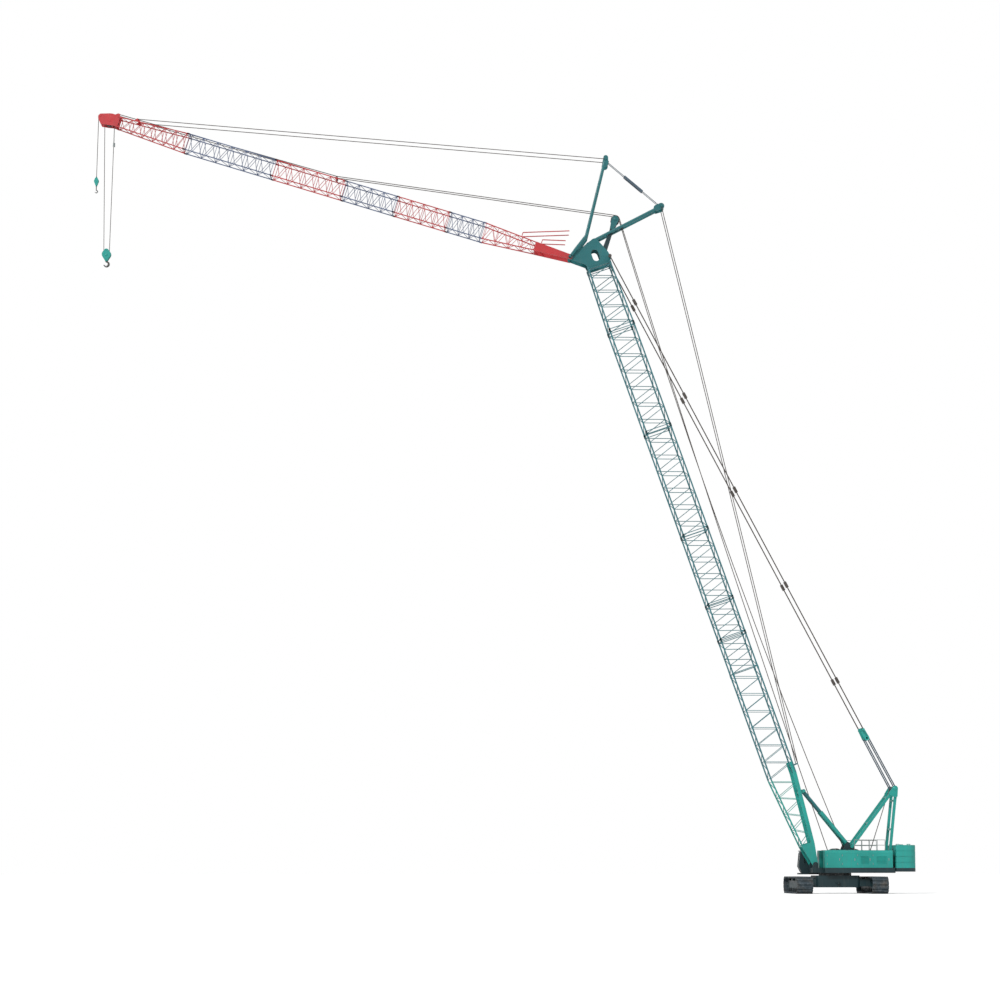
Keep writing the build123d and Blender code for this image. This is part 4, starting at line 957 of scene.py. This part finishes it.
# the jib's head: two plates with their shafts, and the lugs that its pendants hold
outline = (
    (jib_head_station, -0.228), (19.76, -0.228), (19.79, -0.342), (19.875, -0.342), (19.97, -0.262),
    (20.1, -0.262), (20.21, -0.24), (20.59, -0.11), (20.64, 0.0), (20.6, 0.12),
    (20.44, 0.3), (20.15, 0.262), (19.95, 0.222), (jib_head_station, 0.228),
)
shapes = [plate(jib_line, outline, way * jib_head_plate_y, jib_head_plate) for way in sides]
for (station, deep), radius in ((main_sheave_place, 0.03), (aux_sheave_place, 0.022)):
    shapes.append(crossbar(jib_line.at(station, 0, deep), jib_head_plate_y + 0.03, radius, 20))
    for way in sides:
        face = jib_line.at(station, way * (jib_head_plate_y + jib_head_plate / 2), deep)
        shapes.append(boss(face, Vector((0, way, 0)), ((-0.002, radius * 1.8), (0.012, radius * 1.8)), 24))
for deep in (-0.17, 0.19):
    for station in (19.83, 20.0):
        shapes.append(crossbar(jib_line.at(station, 0, deep), jib_head_plate_y, 0.022, 12))
station, deep = jib_stay_head
lug = (
    (station - 0.14, -0.235),
    (station - 0.045, deep - 0.035),
    (station + 0.045, deep - 0.035),
    (station + 0.14, -0.225),
)
shapes += [plate(jib_line, lug, way * 0.245, 0.03) for way in sides]
shapes.append(crossbar(jib_line.at(station, 0, deep), 0.3, 0.022, 16))
add("jib_head_plates", shapes, "jib_red", "jib", "jib_head")

# rollers that carry the hoist ropes along the jib
shapes = []
for station, deep in (rope_guide, head_guide):
    for y in (-jib_rope_y, jib_rope_y):
        place = jib_line.at(station, y, deep)
        shapes.append(flanged(place, guide_roller - flange / 2, 0.06))
        shapes.append(crossbar(place, 0.028, guide_roller - flange / 2, 24))
    shapes.append(crossbar(jib_line.at(station, 0, deep), 0.2, 0.014, 12))
add("jib_rope_rollers", shapes, "ring_steel", "jib")
bracket = ((-0.05, 0.075), (-0.026, -0.024), (0.026, -0.024), (0.05, 0.075))
outline = [(rope_guide[0] + x, rope_guide[1] + z) for x, z in bracket]
shapes = [crossbar(jib_line.at(rope_guide[0], 0, -jib_half), jib_half, 0.02, 12)]
shapes += [plate(jib_line, outline, y, 0.012) for y in (-0.185, 0.185)]
add("jib_roller_bracket", shapes, "jib_red", "jib")

# -------------------- ropes beyond the main stays
half_line = line_rope / 2
half_rope = hoist_rope / 2
idler_reach = idler_sheave + half_line
roller_reach = guide_roller + half_line
main_centre = jib_line.spot(main_sheave_place)
aux_centre = jib_line.spot(aux_sheave_place)
low_roller = jib_line.spot(rope_guide)

# shares of a fall's length from its drum; the first ones lie close together near the drum
fall_shares = (0, 0.01, 0.02, 0.03, 0.04, 0.05, 0.06, 0.15, 0.25, 0.35, 0.45, 0.55, 0.65, 0.75, 0.85, 0.95)
crossing_shares = (0, 0.04, 0.08, 0.12, 0.16, 0.2, 0.25, 0.3, 0.35, 0.4, 0.45, 0.5, 0.75, 1)
# name, place across at the idler, drum, place across on the jib, sag of the fall behind the boom, and
# the sheave at the jib's head: its centre, its radius and its place across
for name, across, (drum_x, drum_z, barrel), jib_y, sag, (centre, radius, sheave_y) in (
    ("main", -idler_y, drums[0], -jib_rope_y, 0.12, (main_centre, main_sheave, main_sheaves_y[0])),
    ("aux", idler_y, drums[1], jib_rope_y, 0.4, (aux_centre, aux_sheave, 0)),
):
    drum = Vector((drum_x, 0, drum_z))
    up = tangent(idler_top, idler_reach, drum, 1)
    off_drum = tangent(drum, barrel + half_rope, up, 1)
    foot, top = upright(off_drum, across * 0.8), upright(up, across)
    over = tangent(idler_top, idler_reach, low_roller, -1)
    start, end = bearing(idler_top, up), bearing(idler_top, over)
    if end < start:
        end += 360
    fall = [share_of(foot, top, s) - Vector((4 * sag * s * (1 - s), 0, 0)) for s in fall_shares]
    fall += arc(idler_top, idler_reach, start, end, 10, across)
    rope = add(f"{name}_fall_rope", [polyline(fall, half_line)], "rope_steel")
    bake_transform(rope)
    # from the idler to the roller on the jib's top, then along the jib to the head's roller
    leave = upright(over, across)
    along = jib_line.at(rope_guide[0], jib_y, rope_guide[1] - roller_reach)
    before_head = jib_line.at(head_guide[0], jib_y, head_guide[1] - roller_reach)
    run = [share_of(leave, along, share) for share in crossing_shares]
    run += [share_of(along, before_head, share) for share in (0.25, 0.5, 0.75, 1)]
    rope = add(f"{name}_jib_rope", [polyline(run, half_line)], "rope_steel")
    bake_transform(rope)
    # over the head: down round the main sheave, and for the second rope on to the end sheave
    touch = tangent(centre, radius + half_rope, before_head, -1)
    wrap = arc(centre, radius + half_rope, bearing(centre, touch) % 360, 180, 8, sheave_y)
    add(f"{name}_head_rope", [polyline([before_head] + wrap, half_rope)], "rope_steel", "jib")

# the boom hoist's rope, from the gantry's top down to its drum
drum_x, drum_z, barrel = drums[2]
drum = Vector((drum_x, 0, drum_z))
top = Vector((gantry_top.x - gantry_sheave - half_line, 0.2, gantry_top.z))
foot = upright(tangent(drum, barrel + half_line, top, 1), 0.2)
add("boom_hoist_rope", [polyline([top, (top + foot) / 2, foot], half_line)], "rope_steel", "upper")

# -------------------- hooks
def hook_bar(centre, radius, start, end, steps, thickness, count=12):
    """A forged hook's curve: thickest at its bottom, tapering to its tip."""
    rings = []
    for i in range(steps + 1):
        share = i / steps
        angle = radians(start + (end - start) * share)
        out = Vector((cos(angle), 0, sin(angle)))
        size = thickness * (0.86 + 0.5 * sin(pi * min(1, share * 1.15)) - 0.5 * max(0, share - 0.6))
        middle = centre + out * radius
        turns = [2 * pi * j / count for j in range(count)]
        rings.append(
            [middle + (out * cos(turn) * 1.05 + Vector((0, sin(turn) * 0.8, 0))) * size for turn in turns]
        )
    return skin(rings)


# centre below the block's top and radius of the cheeks' three circles, as shares
cheek_rounds = ((0.2, 0.28), (0.45, 0.5), (0.87, 0.18))
# inner and outer face of the cheeks' two layers as shares of the width, and how much smaller each is
cheek_layers = ((0.11, 0.21, 1.0), (0.21, 0.235, 0.94))
# name, X, top of the block, width and height of its cheeks, bottom of the hook and its sheave
for name, x, block_top, width, height, bottom, sheave in (
    ("main_hook", main_x, 26.667, 0.375, 0.54, 25.875, block_sheave),
    ("aux_hook", aux_x, 29.75, 0.199, 0.42, 29.042, 0),
):
    shapes = []
    outline = hull([(0, block_top - height * drop, width * reach) for drop, reach in cheek_rounds])
    middle_z = block_top - height * 0.5
    for way in sides:
        for near, far, inset in cheek_layers:
            ring = [(x + px * inset, middle_z + (pz - middle_z) * inset) for px, pz in outline]
            shapes.append(skin([[Vector((px, way * width * y, pz)) for px, pz in ring] for y in (near, far)]))
        outwards = Vector((0, way, 0))
        cap = ((-0.002, width * 0.13), (width * 0.03, width * 0.13), (width * 0.04, width * 0.09))
        face_y = way * width * cheek_layers[-1][1]
        shapes.append(boss(Vector((x, face_y, block_top - height / 2)), outwards, cap, 24))
        for drop in (0.16, 0.84):
            place = Vector((x, face_y, block_top - height * drop))
            shapes.append(bolt(place, outwards, width * 0.045, width * 0.03))
    shapes.append(crossbar(Vector((x, 0, block_top - height * 0.2)), width * 0.2, width * 0.05, 12))
    add(f"{name}_block", shapes, "house_paint", name, name)

    ring = width * 0.36
    eye = Vector((x, 0, bottom + ring))
    middle = Vector((x, 0, block_top - height / 2))
    if sheave:
        shapes = [grooved(middle, sheave, sheave_width, 0.03)]
    else:
        half, reach = width * 0.16, width * 0.3
        shapes = [
            turned(middle, [(-half, 0.01), (-half, reach), (half, reach), (half, 0.01)]),
            rod(x, 0, middle.z, block_top, ring * 0.3, 20),
            rod(x, 0, block_top - 0.07, block_top, ring * 0.36, 20),
        ]
    lower = block_top - height * 0.93
    shapes.append(rod(x, 0, eye.z + ring * 0.62, lower + height * 0.12, ring * 0.26, 20))
    shapes.append(rod(x, 0, lower - 0.03, lower + 0.01, ring * 0.42, 6))
    shapes.append(hook_bar(eye, ring * 0.75, 90, -165, 28, ring * 0.24))
    add(f"{name}_iron", shapes, "ring_steel", name)

# a weight round the rear fall, which the block lifts when it comes too high
weight_x = main_x + main_sheave + half_rope
hang = Vector((weight_x, 0, 31.05))
profile = ((0, 0.02), (0, 0.045), (0.16, 0.045), (0.16, 0.02))
shapes = [turned(hang, profile, 24, Vector((0, 0, 1)), Vector((1, 0, 0)))]
shapes += [rod(weight_x, y, hang.z + 0.15, 31.9, 0.005, 6) for y in (-0.034, 0.034)]
add("main_fall_weight", shapes, "rail_steel", "main_rope")

# -------------------- falls and reeving, as straight ropes
def stretched(node, name, runs, radius, first, second, look=None):
    """Ropes that replace a node; each run is (start, end). The two bodies, first and second, are not used."""
    shapes = [polyline([share_of(start, end, i / 12) for i in range(13)], radius) for start, end in runs]
    rope = add(name, shapes, "rope_steel", node=node, look=look)
    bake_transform(rope)


main_falls = [
    (
        Vector((main_x + way * (main_sheave + half_rope), 0, main_centre.z)),
        Vector((main_x + way * (block_sheave + half_rope), 0, 26.397)),
    )
    for way in sides
]
stretched("main_hook_ropes", "main_falls", main_falls, half_rope, "main_rope", "main_hook")
aux_falls = [(Vector((aux_centre.x - aux_sheave - half_rope, 0, aux_centre.z)), Vector((aux_x, 0, 29.7503)))]
stretched("aux_hook_rope", "aux_fall", aux_falls, half_rope, "aux_rope", "aux_hook")

half_stay = stay_rope / 2
hoist_runs = [
    (
        stay_line.at(0, y, way * (gantry_sheave + half_stay)),
        stay_line.at(bridle_axis, y, way * (bridle_sheave + half_stay)),
    )
    for y in hoist_sheaves_y
    for way in sides
]
names = "stay_reeving", "boom_hoist_reeving"
stretched(*names, hoist_runs, half_stay, "stay_ropes", "stay_pendants", "reeving_steel")
# name, stations of both ends between the struts' tips, and the bodies there
for name, start, end, first, second in (
    ("lower", 0.0423, 1.0297, "strut_ropes", "strut_link"),
    ("upper", 2.0303, 2.9203, "strut_link", "strut_eye"),
):
    places = [way * strut_rope_y for way in sides]
    runs = [(strut_line.at(start, y), strut_line.at(end, y)) for y in places]
    names = f"strut_reeving_{name}", f"jib_hoist_reeving_{name}"
    stretched(*names, runs, half_stay, first, second, "reeving_steel")

# -------------------- struts
# share of the way along, width and thickness of each section, and for the rear strut its place inwards
front_lower = ((-0.06, 0.12, 0.04), (0.22, 0.12, 0.04), (0.3, 0.13, 0.11), (1, 0.135, 0.11))
front_upper = ((0.88, 0.12, 0.1), (0.96, 0.11, 0.05), (1.015, 0.1, 0.045))
rear_sections = (
    (-0.015, 0.11, 0.056, 0), (0.03, 0.11, 0.056, 0), (0.05, 0.11, 0.096, 0.02),
    (0.95, 0.11, 0.096, 0.02), (0.97, 0.11, 0.056, 0), (1.015, 0.11, 0.056, 0),
)
foot_collar = ((-0.02, 0.076), (0.02, 0.076))
foot_cap = ((0.02, 0.05), (0.045, 0.05), (0.052, 0.04))
tip_hub = ((0, 0.075), (0.045, 0.075), (0.0451, 0.042), (0.105, 0.042))
rear_collar = ((-0.028, 0.07), (0.028, 0.07))

knee, tip = jib_pin + front_knee, jib_pin + front_tip
head = hull([(tip.x + x, tip.z + z, reach) for x, z, reach in ((0.02, 0.07, 0.1), (0.0, -0.19, 0.13))])
shapes = []
for way in sides:
    foot, bend = upright(jib_pin, way * front_foot_y), upright(knee, way * front_foot_y)
    top = upright(tip, way * front_tip_y)
    sections = [(share_of(foot, bend, share), *size) for share, *size in front_lower]
    sections += [(share_of(bend, top, share), *size) for share, *size in front_upper]
    shapes.append(lofted(sections))
    outwards = Vector((0, way, 0))
    shapes.append(boss(foot, outwards, foot_collar, 28))
    shapes.append(boss(foot, outwards, foot_cap, 24))
    shapes.append(boss(upright(tip, way * 0.205), outwards, tip_hub, 28))
    shapes.append(plate(level, head, way * front_tip_y, 0.06))
for share in (0.25, 0.62, 0.88):
    reach = front_foot_y + (front_tip_y - front_foot_y) * share
    shapes.append(crossbar(share_of(knee, tip, share), reach, 0.035, 16))
add("front_strut_frame", shapes, "house_paint", "jib", "front_strut", "head_paint")

foot, tip = boom_line.spot(rear_foot), boom_line.spot(rear_tip)
head = hull([(tip.x + x, tip.z + z, reach) for x, z, reach in ((0.0, 0.0, 0.13), (-0.2, -0.08, 0.12))])
# the crossed braces near the foot
low, high = share_of(foot, tip, 0.05), share_of(foot, tip, 0.17)
shapes = []
for way in sides:
    start, end = upright(foot, way * rear_strut_y), upright(tip, way * rear_strut_y)
    shapes.append(
        lofted(
            [
                (share_of(start, end, share) - Vector((0, way * inwards, 0)), width, thickness)
                for share, width, thickness, inwards in rear_sections
            ]
        )
    )
    shapes += [boss(place, Vector((0, way, 0)), rear_collar, 28) for place in (start, end)]
    shapes.append(plate(level, head, way * rear_strut_y, 0.06))
    shapes.append(tube(upright(low, way * rear_bar_y), upright(high, -way * rear_bar_y), 0.02, 12))
for share in (0.36, 0.86, 0.93):
    shapes.append(crossbar(share_of(foot, tip, share), rear_bar_y, 0.033, 16))
shapes.append(crossbar(tip, 0.32, 0.042, 20))
add("rear_strut_frame", shapes, "house_paint", "boom", "rear_strut", "head_paint")

# -------------------- plates at the boom's base
# station of the plates' corners and half the boom's depth there, from the foot upwards
base_runs = (
    (base_start, (base_end, boom_half), base_end),
    ((base_end, boom_half), (base_plates_end, boom_half), base_plates_end - 0.05),
)
shapes = []
for y in (-boom_half, boom_half):
    for (start, start_deep), (end, end_deep), inner_end in base_runs:
        low, high = -start_deep - half_base_chord, -end_deep - half_base_chord
        corners = (
            (start, low),
            (end, high),
            (inner_end, high + base_plate_depth),
            (start, low + base_plate_depth),
        )
        shapes.append(plate(boom_line, corners, y, 0.04))
add("boom_base_plates", shapes, "house_paint", "boom")

# -------------------- cab
# height of each bend of the windscreen, and its place behind the cab's front
screen_bends = ((1.056, -0.0037), (1.0933, 0.0), (1.3, 0.0218), (1.61, 0.0546))
shapes = []
for (low, near), (high, far) in zip(screen_bends, screen_bends[1:]):
    shapes.append(
        hexahedron(
            [
                Vector((cab_front + 0.014 + x + depth, y, z))
                for depth in (0, 0.006)
                for x, z in ((near, low), (far, high))
                for y in (cab_inner + 0.055, cab_outer - 0.055)
            ]
        )
    )
add("cab_windscreen", shapes, "cab_window", "upper")

# two consoles with their levers, then a pedal box and a screen on its post
lever_knob = ((0, 0.012), (0.02, 0.018), (0.045, 0.014))
shapes = []
for y in (0.7, 1.1):
    shapes.append(block((-1.2, y - 0.035, cab_floor), (-0.92, y + 0.035, 1.13)))
    shapes.append(tube(Vector((-1.16, y, 1.12)), Vector((-1.18, y, 1.22)), 0.008, 8))
    shapes.append(boss(Vector((-1.18, y, 1.215)), Vector((0, 0, 1)), lever_knob, 12))
shapes.append(block((-1.3, 0.75, cab_floor), (-1.26, 0.95, 1.05)))
shapes.append(rod(-1.3, 0.69, 1.05, 1.3, 0.01, 8))
shapes.append(block((-1.325, 0.7, 1.25), (-1.3, 0.82, 1.36)))
add("cab_consoles", shapes, "seat_cover", "upper")

# a grab rail on its two brackets, a wiper and two lamps on the roof
rail_ends = ((-1.3, 1.0), (-1.27, 1.45))
y = cab_outer + 0.014
shapes = [tube(*[Vector((x, y, z)) for x, z in rail_ends], 0.009, 10)]
for x, z in rail_ends:
    shapes.append(tube(Vector((x, cab_outer - 0.004, z)), Vector((x, y, z)), 0.009, 8))
shapes.append(tube(Vector((-1.4, 0.92, 1.04)), Vector((-1.372, 0.98, 1.36)), 0.006, 6))
for near in (0.74, 1.0):
    shapes.append(block((-1.36, near, cab_roof), (-1.28, near + 0.1, cab_roof + 0.046)))
add("cab_trim", shapes, "rail_steel", "upper")

# -------------------- stage
floor_size = 400          # half its side
floor_mesh = bpy.data.meshes.new("floor")
corners = ((-1, -1), (1, -1), (1, 1), (-1, 1))
floor_mesh.from_pydata([(x * floor_size, y * floor_size, 0) for x, y in corners], [], [(0, 1, 2, 3)])
floor = placed("floor", floor_mesh)
# the floor glows for the camera alone, so that it is pale and still takes the shadow
ground = Shader(bpy.data.materials.new("floor"))
glow = ground.node("Math")
glow.operation = "MULTIPLY"
ground.fill(glow, {0: ground.node("LightPath").outputs["Is Camera Ray"], 1: 0.35})
ground.surface(
    Base_Color=(0.8, 0.8, 0.8, 1),
    Roughness=0.9,
    Emission_Color=(1, 1, 1, 1),
    Emission_Strength=glow.outputs[0],
)
floor_mesh.materials.append(ground.owner)

# the world is white for the camera and through glass, and lights the object at a lower strength
sky = Shader(bpy.data.worlds.new("world"))
bpy.context.scene.world = sky.owner
path = sky.node("LightPath").outputs
straight = sky.node("Math")
straight.operation = "ADD"
straight.use_clamp = True
sky.fill(straight, {0: path["Is Camera Ray"], 1: path["Is Transmission Ray"]})
strength = sky.ramp(straight.outputs[0], 0, 1, 0.62, 1)
sky.fill(sky.tree.nodes["Background"], {"Color": (1, 1, 1, 1), "Strength": strength})

# name, strength, softness in degrees and the way it shines
for name, power, softness, way in (
    ("key", 1.75, 8, (0.45, 0.75, -0.62)),
    ("fill", 0.5, 30, (-0.7, 0.6, 0.1)),
):
    light = bpy.data.lights.new(name, "SUN")
    light.energy = power
    light.angle = radians(softness)
    lamp = placed(name, light)
    lamp.rotation_euler = Vector(way).to_track_quat("-Z", "Y").to_euler()

# -------------------- camera
camera_data = bpy.data.cameras.new("camera")
camera = placed("camera", camera_data)
bpy.context.scene.camera = camera
camera_data.lens = 87.73
camera_data.shift_x = -0.08
camera_data.shift_y = 0.08
camera_data.clip_end = 2000
camera.location = (-14.722, -100, 0.9)
yaw, pitch = radians(2.447), radians(6.978)
gaze = Vector((sin(yaw) * cos(pitch), cos(yaw) * cos(pitch), sin(pitch)))
camera.rotation_euler = gaze.to_track_quat("-Z", "Y").to_euler()
bpy.context.scene.view_settings.view_transform = "Standard"
